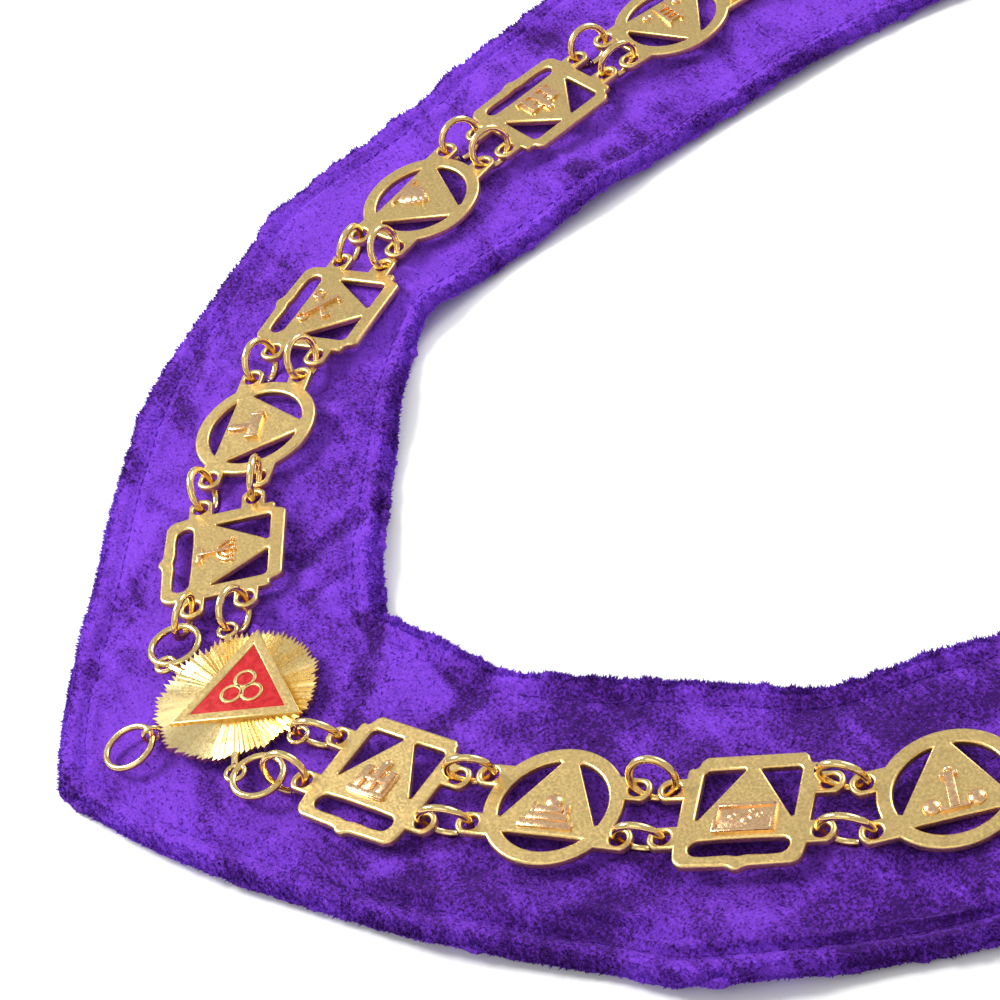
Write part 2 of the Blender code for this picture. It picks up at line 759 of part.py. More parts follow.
def build_jewel_ring(frame):
    """The plain ring that a jewel hangs from, resting on the cloth."""
    _, centre, along, side = jewel_places(frame)
    ring = ring_body(centre, along, side, JEWEL_RING_RADIUS, JEWEL_RING_WIRE)
    ring.name = "jewel_ring"
    ring.data.name = "jewel_ring"
    return ring


def main():
    clear_scene()
    parts = new_collection(PARTS)
    velvet = material("purple_velvet", (0.133, 0.031, 0.420), 0.90, 0.0)
    gold = material("gold_plate", (0.720, 0.520, 0.180), 0.28, 1.0)
    enamel = material("red_enamel", (0.640, 0.030, 0.040), 0.20, 0.0)
    places, lengths = along_route()
    stops = chain_stops(lengths)
    shift = middle_shift()
    flat_frames = chain_frames(places, lengths, stops, shift, 0.0)
    height = link_height(flat_frames)
    frames = chain_frames(places, lengths, stops, shift, height)
    radii = ring_radii(frames)
    finish(build_velvet(places, lengths, stops, shift), parts, velvet)
    finish(build_centrepiece(frames, radii[-1]), parts, gold)
    finish(build_enamel(field_frame(frames[0])), parts, enamel)
    finish(build_jewel_ring(field_frame(frames[0])), parts, gold)
    for item in range(1, CHAIN_ITEMS):
        finish(build_plaque(item, frames, radii), parts, gold)
    print("pitch", round(stops[2] - stops[1], 4), "rings", radii, "chain height", round(height, 4))


main()
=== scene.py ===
# %% [markdown]
# # A velvet collar with a chain of pierced plaques
# The collar lies flat: a padded velvet band shaped like a horse collar, with a gold chain sewn
# along its middle. The imported model gives the frame, in metres, and everything here is built
# round it. First the frame is loaded.

# %% Load the frame
import math
import random

import bpy
import numpy as np
from mathutils import Matrix, Vector, noise


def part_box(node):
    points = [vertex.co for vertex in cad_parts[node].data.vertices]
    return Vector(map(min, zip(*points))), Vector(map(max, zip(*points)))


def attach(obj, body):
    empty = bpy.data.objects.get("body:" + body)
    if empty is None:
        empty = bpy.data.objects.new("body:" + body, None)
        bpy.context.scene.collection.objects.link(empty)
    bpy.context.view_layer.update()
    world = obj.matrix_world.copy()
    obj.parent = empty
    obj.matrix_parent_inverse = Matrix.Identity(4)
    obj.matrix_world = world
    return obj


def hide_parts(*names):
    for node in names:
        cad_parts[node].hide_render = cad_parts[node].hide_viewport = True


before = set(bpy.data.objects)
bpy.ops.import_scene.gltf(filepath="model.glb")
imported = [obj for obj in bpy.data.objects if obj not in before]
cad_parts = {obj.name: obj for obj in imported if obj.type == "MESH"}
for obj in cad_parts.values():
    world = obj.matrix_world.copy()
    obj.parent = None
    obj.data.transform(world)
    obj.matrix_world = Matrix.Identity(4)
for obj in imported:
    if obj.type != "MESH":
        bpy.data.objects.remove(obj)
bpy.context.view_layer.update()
bpy.ops.object.select_all(action="DESELECT")
print("nodes:", len(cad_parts))

# %% [markdown]
# ## The route of the band
# Every plaque has its own place and heading on the band, so the scene needs the same route as
# the model. It is a short table of sections round the neck, joined by a smooth spline. Reading
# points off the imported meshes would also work, but a table is easier to read and to check.

# %% Sizes and the table of sections
NECK_WIDTH = 0.226
NECK_LENGTH = 0.316
BAND_WIDTH = 0.085
CLOTH_THICK = 0.0055
PLAQUE_RADIUS = 0.017
PLAQUE_THICK = 0.0016
ITEMS = 24
CENTRE_STEP = 0.0544
CENTRE_ASIDE = 0.0073
LUG_REACH = 0.0186
LUG_ACROSS = 0.0072
STEPS_PER_ROW = 24
ENAMEL_ABOVE_MIDDLE = PLAQUE_THICK / 2.0 + 0.0003

# Neck edge x (share of half the neck's width), neck edge y (share of its length), direction to the
# outer edge (degrees), width (share of BAND_WIDTH), place of the chain across the band.
BAND_ROWS = (
    (-0.045, 0.000, -92.0, 1.074, 0.480), (0.268, 0.039, -62.8, 0.928, 0.560),
    (0.451, 0.081, -50.6, 0.944, 0.530), (0.618, 0.147, -41.3, 1.010, 0.530),
    (0.707, 0.172, -34.2, 1.046, 0.490), (0.832, 0.218, -20.0, 1.008, 0.500),
    (0.917, 0.280, -16.0, 1.020, 0.530), (0.994, 0.360, -10.3, 1.000, 0.520),
    (1.030, 0.516, -3.0, 1.030, 0.500), (1.015, 0.677, 6.0, 1.040, 0.500),
    (0.870, 0.835, 32.0, 1.030, 0.500), (0.500, 0.953, 61.0, 1.000, 0.500),
    (0.000, 1.000, 90.0, 0.980, 0.500), (-0.500, 0.953, 119.0, 1.000, 0.500),
    (-0.870, 0.835, 148.0, 1.040, 0.500), (-0.992, 0.690, 175.0, 1.080, 0.480),
    (-0.992, 0.516, 181.0, 1.090, 0.470), (-0.943, 0.337, 181.9, 0.974, 0.490),
    (-0.895, 0.220, 188.7, 0.930, 0.420), (-0.812, 0.162, 203.0, 0.867, 0.390),
    (-0.511, 0.090, 232.7, 0.925, 0.505), (-0.210, 0.027, 242.1, 0.940, 0.520),
    (-0.045, 0.000, 268.0, 1.074, 0.480),
)

# Place along the loop, spread, lift of the neck edge and of the outer edge (shares of CLOTH_THICK).
FOLD_ROWS = (
    (0.035, 0.014, 0.30, 0.15), (0.085, 0.015, 0.45, 0.30), (0.135, 0.013, 0.25, 0.50),
    (0.190, 0.016, 0.55, 0.20), (0.260, 0.020, 0.25, 0.45), (0.340, 0.020, 0.45, 0.20),
    (0.430, 0.022, 0.30, 0.40), (0.510, 0.020, 0.45, 0.25), (0.590, 0.022, 0.25, 0.45),
    (0.670, 0.018, 0.50, 0.20), (0.740, 0.016, 0.20, 0.45), (0.800, 0.014, 0.45, 0.30),
    (0.858, 0.012, 0.60, 0.20), (0.905, 0.013, 0.35, 0.45), (0.960, 0.014, 0.35, 0.20),
)

# How each plaque lies: tip along the chain and tip across it, in degrees, row after row.
LIE_ROWS = ((0.8, -1.6), (-1.2, 0.9), (1.5, 1.2), (-0.7, -1.0), (1.1, 1.8))


# %% The spline through the table
def catmull(rows, at):
    """Values between the rows of a table; at runs from 0 to len(rows) - 1."""
    last = len(rows) - 1
    low = min(int(at), last - 1)
    share = at - low
    before = rows[max(low - 1, 0)]
    after = rows[min(low + 2, last)]
    values = []
    for p0, p1, p2, p3 in zip(before, rows[low], rows[low + 1], after):
        into, out, rise = (p2 - p0) / 2.0, (p3 - p1) / 2.0, p2 - p1
        values.append(p1 + into * share + (3.0 * rise - 2.0 * into - out) * share ** 2
                      + (into + out - 2.0 * rise) * share ** 3)
    return values


def section(at):
    """Neck edge, outer edge and chain place of the band, as 2D vectors."""
    neck_x, neck_y, outward, width, chain = catmull(BAND_ROWS, at)
    neck = Vector((neck_x * NECK_WIDTH / 2.0, neck_y * NECK_LENGTH))
    angle = math.radians(outward)
    across = Vector((math.cos(angle), math.sin(angle))) * width * BAND_WIDTH
    return neck, neck + across, neck + across * chain


PLACES = [i / STEPS_PER_ROW for i in range((len(BAND_ROWS) - 1) * STEPS_PER_ROW + 1)]
SECTIONS = [section(at) for at in PLACES]
outer_x = [s[1].x for s in SECTIONS]
outer_y = [s[1].y for s in SECTIONS]
SHIFT = Vector((-(min(outer_x) + max(outer_x)) / 2.0, -(min(outer_y) + max(outer_y)) / 2.0))
LENGTHS = [0.0]
for one, other in zip(SECTIONS, SECTIONS[1:]):
    LENGTHS.append(LENGTHS[-1] + (other[2] - one[2]).length)
ROUTE = LENGTHS[-1]
print("chain route:", round(ROUTE, 4), "m")


# %% The frame of each plaque
def place_at(length):
    """The row number at a running length of the route."""
    return float(np.interp(length % ROUTE, LENGTHS, PLACES))


PITCH = (ROUTE - 2.0 * CENTRE_STEP) / (ITEMS - 2)
STOPS = [CENTRE_ASIDE] + [CENTRE_ASIDE + CENTRE_STEP + i * PITCH for i in range(ITEMS - 1)]
CHAIN_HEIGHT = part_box("red_enamel")[0].z - ENAMEL_ABOVE_MIDDLE


def chain_frames():
    """X along the chain, Y to the neck, Z up, at the middle of each plaque's thickness."""
    centres = []
    for stop in STOPS:
        middle = section(place_at(stop))[2] + SHIFT
        centres.append(Vector((middle.x, middle.y, CHAIN_HEIGHT)))
    made = []
    for item, centre in enumerate(centres):
        chord = centres[(item + 1) % ITEMS] - centres[item - 1]
        turn = Matrix.Rotation(math.atan2(chord.y, chord.x), 4, "Z")
        if item > 0:
            along_tip, across_tip = LIE_ROWS[item % len(LIE_ROWS)]
            turn = (turn @ Matrix.Rotation(math.radians(along_tip), 4, "Y")
                    @ Matrix.Rotation(math.radians(across_tip), 4, "X"))
        made.append(Matrix.Translation(centre) @ turn)
    return made


FRAMES = chain_frames()
print("plaques:", len(FRAMES) - 1, "pitch", round(PITCH * 1000, 1), "mm, height",
      round(CHAIN_HEIGHT * 1000, 2), "mm")

# %% [markdown]
# ## Camera, floor and light
# The photo looks down on the collar at about forty degrees through a long lens. The camera comes
# early, so that every later step can be judged in its view. The floor is a plain pale sheet, and
# three large soft lamps over a pale world give the broad reflections that satin gold needs.

# %% Camera
CAMERA_PLACE = Vector((0.6697, -0.2584, 0.6022))
CAMERA_AIM = Vector((-0.0115, -0.1141, 0.0091))
CAMERA_ROLL = math.radians(22.565)
lens_data = bpy.data.cameras.new("camera")
lens_data.lens = 131.0
lens_data.sensor_width = 36.0
lens_data.clip_start = 0.01
lens_data.clip_end = 20.0
camera = bpy.data.objects.new("camera", lens_data)
bpy.context.scene.collection.objects.link(camera)
look = (CAMERA_AIM - CAMERA_PLACE).to_track_quat("-Z", "Y")
camera.matrix_world = (Matrix.Translation(CAMERA_PLACE) @ look.to_matrix().to_4x4()
                       @ Matrix.Rotation(-CAMERA_ROLL, 4, "Z"))
bpy.context.scene.camera = camera
print("camera distance:", round((CAMERA_AIM - CAMERA_PLACE).length, 3), "m")


# %% Node helpers
def new_node(tree, kind, links=None, **settings):
    """Add a node; links maps its input sockets to values or to other nodes' sockets."""
    made = tree.nodes.new(kind)
    for key, value in settings.items():
        setattr(made, key, value)
    for key, value in (links or {}).items():
        if isinstance(value, bpy.types.NodeSocket):
            tree.links.new(value, made.inputs[key])
        else:
            made.inputs[key].default_value = value
    return made


def colour_ramp(tree, factor, stops):
    """A colour ramp; stops are pairs of place and colour."""
    ramp = new_node(tree, "ShaderNodeValToRGB", {"Fac": factor})
    while len(ramp.color_ramp.elements) < len(stops):
        ramp.color_ramp.elements.new(0.5)
    for element, (place, colour) in zip(ramp.color_ramp.elements, stops):
        element.position = place
        element.color = (*colour, 1.0)
    return ramp.outputs["Color"]


def noise_value(tree, vector, scale, detail=3.0, roughness=0.55, distortion=0.0):
    """A noise texture's value on given coordinates."""
    made = new_node(tree, "ShaderNodeTexNoise", {
        "Vector": vector, "Scale": scale, "Detail": detail, "Roughness": roughness,
        "Distortion": distortion,
    })
    return made.outputs["Fac"]


def remap(tree, value, low, high, to_low, to_high, kind="SMOOTHSTEP"):
    """Map a value from one range to another."""
    made = new_node(tree, "ShaderNodeMapRange", {
        "Value": value, "From Min": low, "From Max": high, "To Min": to_low, "To Max": to_high,
    }, interpolation_type=kind)
    return made.outputs["Result"]


def sums(tree, operation, one, other):
    """A maths node's value."""
    return new_node(tree, "ShaderNodeMath", {0: one, 1: other}, operation=operation).outputs[0]


def mix_colour(tree, factor, one, other, blend="MIX"):
    """Mix two colours."""
    made = new_node(tree, "ShaderNodeMix", {0: factor, 6: one, 7: other}, data_type="RGBA",
                    blend_type=blend)
    return made.outputs[2]


def new_group(name, inputs, outputs):
    """A shader node group with named sockets; gives the tree and its two end nodes."""
    tree = bpy.data.node_groups.new(name, "ShaderNodeTree")
    for label, kind, value in inputs:
        socket = tree.interface.new_socket(label, in_out="INPUT", socket_type=kind)
        socket.default_value = value
    for label, kind in outputs:
        tree.interface.new_socket(label, in_out="OUTPUT", socket_type=kind)
    return tree, tree.nodes.new("NodeGroupInput"), tree.nodes.new("NodeGroupOutput")


def new_material(name):
    """A material, its tree, its shader and its Object coordinates."""
    made = bpy.data.materials.new(name)
    made.use_nodes = True
    tree = made.node_tree
    place = tree.nodes.new("ShaderNodeTexCoord").outputs["Object"]
    return made, tree, tree.nodes["Principled BSDF"], place


print("node helpers ready")

# %% Floor
FLOOR_SIZE = 6.0
bpy.ops.mesh.primitive_plane_add(size=FLOOR_SIZE, location=(0.0, 0.0, -0.0002))
floor = bpy.context.object
floor.name = "floor"
bpy.ops.object.transform_apply(location=True)
floor_paint, tree, shader, place = new_material("pale_floor")
tone = noise_value(tree, place, 3.0)
tree.links.new(colour_ramp(tree, tone, ((0.3, (0.93, 0.93, 0.93)), (0.7, (0.95, 0.95, 0.95)))),
               shader.inputs["Base Color"])
shader.inputs["Roughness"].default_value = 0.9
shader.inputs["Specular IOR Level"].default_value = 0.1
floor.data.materials.append(floor_paint)
print("floor:", FLOOR_SIZE, "m")

# %% Light
LAMPS = (
    ("key", (-0.95, -0.85, 1.15), 0.6, 27.0),
    ("fill", (1.0, -1.1, 1.4), 1.4, 6.0),
    ("side", (-0.5, 1.2, 0.9), 0.8, 12.0),
)
for name, spot, size, power in LAMPS:
    lamp_data = bpy.data.lights.new(name, "AREA")
    lamp_data.size = size
    lamp_data.energy = power
    lamp = bpy.data.objects.new(name, lamp_data)
    bpy.context.scene.collection.objects.link(lamp)
    lamp.location = spot
    lamp.rotation_euler = (Vector((0.0, -0.1, 0.0)) - Vector(spot)).to_track_quat("-Z", "Y").to_euler()
world = bpy.data.worlds.new("studio")
world.use_nodes = True
world.node_tree.nodes["Background"].inputs["Color"].default_value = (1.0, 1.0, 1.0, 1.0)
world.node_tree.nodes["Background"].inputs["Strength"].default_value = 0.59
bpy.context.scene.world = world
bpy.context.scene.view_settings.view_transform = "Standard"
print("lamps:", len(LAMPS))

# %% [markdown]
# ## Gold plate
# The plaques are stamped brass with a thin gold plate. Their faces are satin and pale, and the
# walls of the cuts are painted brighter and more orange, as a painted reflection of the metal
# opposite. The group below gives a colour, a roughness and a height; the walls are found from the
# surface's own normal, so that the painted reflection stays with the piece in every view.

# %% The plating group
plating, ends_in, ends_out = new_group("gold_plating", (
    ("Vector", "NodeSocketVector", (0.0, 0.0, 0.0)),
    ("Face", "NodeSocketColor", (0.62, 0.47, 0.18, 1.0)),
    ("Wall", "NodeSocketColor", (0.80, 0.44, 0.10, 1.0)),
    ("Worn", "NodeSocketColor", (0.55, 0.33, 0.16, 1.0)),
    ("Face Roughness", "NodeSocketFloat", 0.34),
    ("Wall Roughness", "NodeSocketFloat", 0.18),
), (("Color", "NodeSocketColor"), ("Roughness", "NodeSocketFloat"), ("Height", "NodeSocketFloat")))
normal = new_node(plating, "ShaderNodeNewGeometry").outputs["Normal"]
upward = new_node(plating, "ShaderNodeSeparateXYZ", {0: normal}).outputs["Z"]
flatness = remap(plating, upward, 0.45, 0.93, 0.0, 1.0)
where = ends_in.outputs["Vector"]
cloudy = noise_value(plating, where, 95.0, 4.0)
grainy = noise_value(plating, where, 1400.0, 3.0)
scratchy = noise_value(plating, new_node(plating, "ShaderNodeMapping", {
    "Vector": where, "Rotation": (0.0, 0.0, 0.7), "Scale": (90.0, 1800.0, 90.0)}).outputs[0], 1.0, 2.0)
# Painted reflection: the walls of the cuts get the brighter, more orange Wall colour.
tint = mix_colour(plating, flatness, ends_in.outputs["Wall"], ends_in.outputs["Face"])
stain = remap(plating, cloudy, 0.52, 0.75, 0.0, 0.35)
tint = mix_colour(plating, stain, tint, ends_in.outputs["Worn"])
shade = remap(plating, grainy, 0.25, 0.75, 0.86, 1.08)
tint = mix_colour(plating, 1.0, tint, new_node(plating, "ShaderNodeCombineColor", {
    0: shade, 1: shade, 2: shade}).outputs[0], "MULTIPLY")
rough = new_node(plating, "ShaderNodeMix", {
    0: flatness, 2: ends_in.outputs["Wall Roughness"], 3: ends_in.outputs["Face Roughness"]}).outputs[0]
rough = sums(plating, "ADD", rough, remap(plating, grainy, 0.3, 0.7, -0.04, 0.06))
rough = sums(plating, "ADD", rough, remap(plating, scratchy, 0.55, 0.75, 0.0, 0.07))
height = sums(plating, "ADD", sums(plating, "MULTIPLY", grainy, 0.6), sums(plating, "MULTIPLY", cloudy, 1.4))
plating.links.new(tint, ends_out.inputs["Color"])
plating.links.new(rough, ends_out.inputs["Roughness"])
plating.links.new(height, ends_out.inputs["Height"])
print("group:", plating.name)


# %% Four gold finishes
def gold_finish(name, face, wall_reflection, worn, face_rough, wall_rough, bump):
    """A gold made from the plating group; bump is the depth of its hammer marks in metres."""
    made, tree, shader, place = new_material(name)
    plate_look = tree.nodes.new("ShaderNodeGroup")
    plate_look.node_tree = plating
    tree.links.new(place, plate_look.inputs["Vector"])
    # The Wall colour is a painted reflection on the walls of the cuts.
    for label, colour in (("Face", face), ("Wall", wall_reflection), ("Worn", worn)):
        plate_look.inputs[label].default_value = (*colour, 1.0)
    plate_look.inputs["Face Roughness"].default_value = face_rough
    plate_look.inputs["Wall Roughness"].default_value = wall_rough
    tree.links.new(plate_look.outputs["Color"], shader.inputs["Base Color"])
    tree.links.new(plate_look.outputs["Roughness"], shader.inputs["Roughness"])
    dents = new_node(tree, "ShaderNodeBump", {
        "Height": plate_look.outputs["Height"], "Distance": bump, "Strength": 0.5})
    tree.links.new(dents.outputs["Normal"], shader.inputs["Normal"])
    shader.inputs["Metallic"].default_value = 1.0
    return made


# The second colour of each gold is a painted reflection on the walls of the cuts.
SATIN_GOLD = gold_finish("satin_gold", (0.80, 0.58, 0.235), (0.95, 0.66, 0.24), (0.70, 0.45, 0.19),
                         0.32, 0.34, 0.00016)
RELIEF_GOLD = gold_finish("relief_gold", (0.86, 0.55, 0.30), (0.92, 0.58, 0.26), (0.70, 0.38, 0.22),
                          0.24, 0.18, 0.00020)
WIRE_GOLD = gold_finish("wire_gold", (0.90, 0.69, 0.32), (0.88, 0.60, 0.22), (0.68, 0.43, 0.16),
                        0.15, 0.15, 0.00005)
RAY_GOLD = gold_finish("ray_gold", (0.95, 0.76, 0.38), (0.95, 0.72, 0.32), (0.80, 0.55, 0.24),
                       0.30, 0.26, 0.00004)
print("golds:", SATIN_GOLD.name, RELIEF_GOLD.name, WIRE_GOLD.name)

# %% [markdown]
# ## Enamel
# The red field of the centrepiece is glossy and a little mottled, as fired or poured enamel is.
# A thin clear coat over a red base gives a faint sharp reflection on top and a deep colour below.

# %% Red enamel
RED_ENAMEL, tree, shader, place = new_material("red_enamel_gloss")
swirl = noise_value(tree, place, 420.0, 4.0, 0.6, 0.8)
tree.links.new(colour_ramp(tree, swirl, (
    (0.25, (0.36, 0.004, 0.007)), (0.5, (0.48, 0.009, 0.014)), (0.75, (0.60, 0.028, 0.028)),
)), shader.inputs["Base Color"])
wave = new_node(tree, "ShaderNodeBump", {"Height": swirl, "Distance": 0.0002, "Strength": 0.35})
tree.links.new(wave.outputs["Normal"], shader.inputs["Normal"])
tree.links.new(remap(tree, swirl, 0.3, 0.7, 0.22, 0.34), shader.inputs["Roughness"])
shader.inputs["Specular IOR Level"].default_value = 0.3
shader.inputs["Coat Weight"].default_value = 0.15
shader.inputs["Coat Roughness"].default_value = 0.1
print("enamel ready")

# %% [markdown]
# ## Crushed velvet
# Velvet is a forest of short threads. Where they lean to the light they are vivid, and where they
# lean away they go nearly black, so the colour comes in patches and dark specks that follow how the
# cloth was stroked. One arm is painted darker, as painted shade for pile that lies the other way
# round there, and the creases below are painted with shade too.
# Wide noise sets the ground colour and how thick the specks lie, and fine noise places the specks.

# %% Creases, with painted shade
# Each row is a place on the band: middle x and y, half length, half width, turn in degrees and
# depth. The same table paints shade into the pile here and presses the cloth in later on.
SHADED_CREASES = (
    (-0.0375, -0.1525, 0.0149, 0.0038, -77, 0.0016), (0.0137, -0.1674, 0.0224, 0.0035, -33, 0.0012),
    (0.0404, -0.1520, 0.0136, 0.0043, -69, 0.0009), (0.0714, -0.1271, 0.0159, 0.0066, -85, 0.0007),
    (-0.0044, -0.1602, 0.0078, 0.0029, 38, 0.0006), (-0.0441, -0.1357, 0.0179, 0.0024, -24, 0.0004),
    (0.1008, -0.0909, 0.0163, 0.0078, -117, 0.0005), (0.1242, -0.0684, 0.0147, 0.0069, -112, 0.0005),
    (-0.0556, -0.2052, 0.0193, 0.0040, -48, 0.0005), (0.1215, -0.1587, 0.0143, 0.0055, -97, 0.0005),
    (0.0796, -0.1932, 0.0141, 0.0037, -125, 0.0005), (0.1733, -0.1018, 0.0167, 0.0062, -109, 0.0005),
    (-0.1165, -0.0085, 0.0361, 0.0042, -95, 0.0003), (-0.1823, -0.0169, 0.0145, 0.0042, -74, 0.0003),
    (-0.0557, -0.1549, 0.0023, 0.0018, 45, 0.0002), (-0.0259, -0.1881, 0.0135, 0.0024, -169, 0.0006),
    (-0.0233, -0.1630, 0.0066, 0.0029, -69, 0.0007), (0.0298, -0.1510, 0.0140, 0.0022, 5, 0.0005),
    (-0.1343, -0.1213, 0.0190, 0.0034, -40, 0.0004), (-0.1221, -0.1569, 0.0210, 0.0031, -32, 0.0004),
)
print("creases:", len(SHADED_CREASES))

# %% The velvet group and its finish
velvet_group, ends_in, ends_out = new_group("velvet_pile", (
    ("Vector", "NodeSocketVector", (0.0, 0.0, 0.0)),
    ("Bright", "NodeSocketColor", (0.26, 0.07, 0.80, 1.0)),
    ("Middle", "NodeSocketColor", (0.125, 0.018, 0.46, 1.0)),
    ("Deep", "NodeSocketColor", (0.040, 0.005, 0.16, 1.0)),
), (("Color", "NodeSocketColor"), ("Height", "NodeSocketFloat")))
where = ends_in.outputs["Vector"]
strokes = new_node(velvet_group, "ShaderNodeMapping", {
    "Vector": where, "Rotation": (0.0, 0.0, 0.5), "Scale": (34.0, 95.0, 60.0)}).outputs[0]
threads = new_node(velvet_group, "ShaderNodeMapping", {
    "Vector": where, "Rotation": (0.0, 0.0, -0.35), "Scale": (420.0, 1300.0, 700.0)}).outputs[0]
patches = noise_value(velvet_group, where, 26.0, 3.0, 0.6, 0.8)
stroked = noise_value(velvet_group, strokes, 1.0, 4.0, 0.62, 0.9)
crumbs = noise_value(velvet_group, where, 1250.0, 2.5, 0.60, 0.3)
lines = noise_value(velvet_group, threads, 1.0, 3.0, 0.6, 0.2)
# Painted shade: the arm towards +X is painted darker, for pile that lies the other way there.
painted_arm_shade = remap(velvet_group, new_node(velvet_group, "ShaderNodeSeparateXYZ", {0: where}).outputs["X"],
                 -0.01, 0.10, 0.0, 0.10)
broad = sums(velvet_group, "ADD", sums(velvet_group, "MULTIPLY", patches, 0.55),
             sums(velvet_group, "MULTIPLY", stroked, 0.45))
broad = sums(velvet_group, "SUBTRACT", broad, painted_arm_shade)
ragged = sums(velvet_group, "MULTIPLY", sums(velvet_group, "SUBTRACT", stroked, 0.5), 1.6)
# Painted shade: the pile is darkened in and round each crease.
for x, y, half_long, half_wide, turn, depth in SHADED_CREASES:
    oval = new_node(velvet_group, "ShaderNodeMapping", {
        "Vector": where, "Location": (x, y, 0.0), "Rotation": (0.0, 0.0, math.radians(turn)),
        "Scale": (half_long, half_wide, 1.0)}, vector_type="TEXTURE").outputs[0]
    away = new_node(velvet_group, "ShaderNodeVectorMath", {0: oval}, operation="LENGTH").outputs["Value"]
    crease_shade = remap(velvet_group, sums(velvet_group, "ADD", away, ragged), 0.3, 1.5, 0.09 + 45.0 * depth, 0.0)
    broad = sums(velvet_group, "SUBTRACT", broad, crease_shade)
ground = remap(velvet_group, broad, 0.26, 0.58, 0.20, 1.0)
speck_at = sums(velvet_group, "ADD", remap(velvet_group, broad, 0.28, 0.60, 0.46, 0.64, "LINEAR"),
                sums(velvet_group, "MULTIPLY", sums(velvet_group, "SUBTRACT", lines, 0.5), 0.35))
specks = remap(velvet_group, sums(velvet_group, "SUBTRACT", crumbs, speck_at), -0.03, 0.08, 0.0, 0.60)
glints = remap(velvet_group, sums(velvet_group, "SUBTRACT", lines, crumbs), 0.02, 0.22, 0.0, 0.30)
pile = sums(velvet_group, "SUBTRACT", ground, specks)
ramp = sums(velvet_group, "ADD", pile, glints)
low_mix = mix_colour(velvet_group, remap(velvet_group, ramp, 0.0, 0.55, 0.0, 1.0, "LINEAR"),
                     ends_in.outputs["Deep"], ends_in.outputs["Middle"])
full_mix = mix_colour(velvet_group, remap(velvet_group, ramp, 0.55, 1.15, 0.0, 1.0, "LINEAR"),
                      low_mix, ends_in.outputs["Bright"])
pile_height = sums(velvet_group, "ADD", sums(velvet_group, "MULTIPLY", crumbs, 0.7),
                   sums(velvet_group, "MULTIPLY", lines, 0.5))
velvet_group.links.new(full_mix, ends_out.inputs["Color"])
velvet_group.links.new(pile_height, ends_out.inputs["Height"])


def velvet_finish(name, bright, middle, deep):
    """A velvet made from the pile group."""
    made, tree, shader, place = new_material(name)
    cloth = tree.nodes.new("ShaderNodeGroup")
    cloth.node_tree = velvet_group
    tree.links.new(place, cloth.inputs["Vector"])
    for label, colour in (("Bright", bright), ("Middle", middle), ("Deep", deep)):
        cloth.inputs[label].default_value = (*colour, 1.0)
    # Painted sheen: the colour is lightened towards the bright colour at grazing angles.
    facing = new_node(tree, "ShaderNodeLayerWeight", {"Blend": 0.35}).outputs["Facing"]
    painted_sheen = remap(tree, facing, 0.35, 1.0, 0.0, 0.45)
    tree.links.new(mix_colour(tree, painted_sheen, cloth.outputs["Color"], (*bright, 1.0)),
                   shader.inputs["Base Color"])
    nap = new_node(tree, "ShaderNodeBump", {
        "Height": cloth.outputs["Height"], "Distance": 0.0011, "Strength": 0.8})
    tree.links.new(nap.outputs["Normal"], shader.inputs["Normal"])
    shader.inputs["Roughness"].default_value = 0.9
    shader.inputs["Specular IOR Level"].default_value = 0.15
    shader.inputs["Sheen Weight"].default_value = 0.12
    shader.inputs["Sheen Roughness"].default_value = 0.4
    shader.inputs["Sheen Tint"].default_value = (0.50, 0.22, 1.0, 1.0)
    return made


VELVET = velvet_finish("crushed_velvet", (0.200, 0.048, 0.64), (0.100, 0.017, 0.33), (0.035, 0.0030, 0.110))
THREAD = velvet_finish("purple_thread", (0.13, 0.028, 0.42), (0.08, 0.012, 0.26), (0.04, 0.004, 0.14))
print("velvet ready")


# %% [markdown]
# ## Making pieces by hand
# Each plaque is a flat shape with windows, so its outline is drawn as a flat curve, given a
# thickness and a small rounded edge, and turned into a mesh. What repeats is drawn once and
# copied, each copy with its own mesh set in its own place, so that every object stays at the
# origin.

# %% Small tools for meshes
def as_mesh(obj):
    """Turn a curve object into a mesh and merge its doubles."""
    bpy.ops.object.select_all(action="DESELECT")
    bpy.context.view_layer.objects.active = obj
    obj.select_set(True)
    bpy.ops.object.convert(target="MESH")
    made = bpy.context.object
    bpy.ops.object.mode_set(mode="EDIT")
    bpy.ops.mesh.select_all(action="SELECT")
    bpy.ops.mesh.remove_doubles(threshold=1e-6)
    bpy.ops.mesh.normals_make_consistent(inside=False)
    bpy.ops.object.mode_set(mode="OBJECT")
    return made


def cut_plate(name, loops, thick, edge, base=0.0):
    """A flat plate from drawn loops, with rounded edges; base is the height of its underside."""
    curve = bpy.data.curves.new(name, "CURVE")
    curve.dimensions = "2D"
    curve.fill_mode = "BOTH"
    curve.extrude = thick / 2.0 - edge
    curve.bevel_depth = edge
    curve.bevel_resolution = 2
    curve.offset = -edge
    for loop in loops:
        spline = curve.splines.new("POLY")
        spline.points.add(len(loop) - 1)
        for point, (x, y) in zip(spline.points, loop):
            point.co = (x, y, 0.0, 1.0)
        spline.use_cyclic_u = True
    drawn = bpy.data.objects.new(name, curve)
    bpy.context.scene.collection.objects.link(drawn)
    made = as_mesh(drawn)
    made.data.transform(Matrix.Translation((0.0, 0.0, base + thick / 2.0)))
    return made


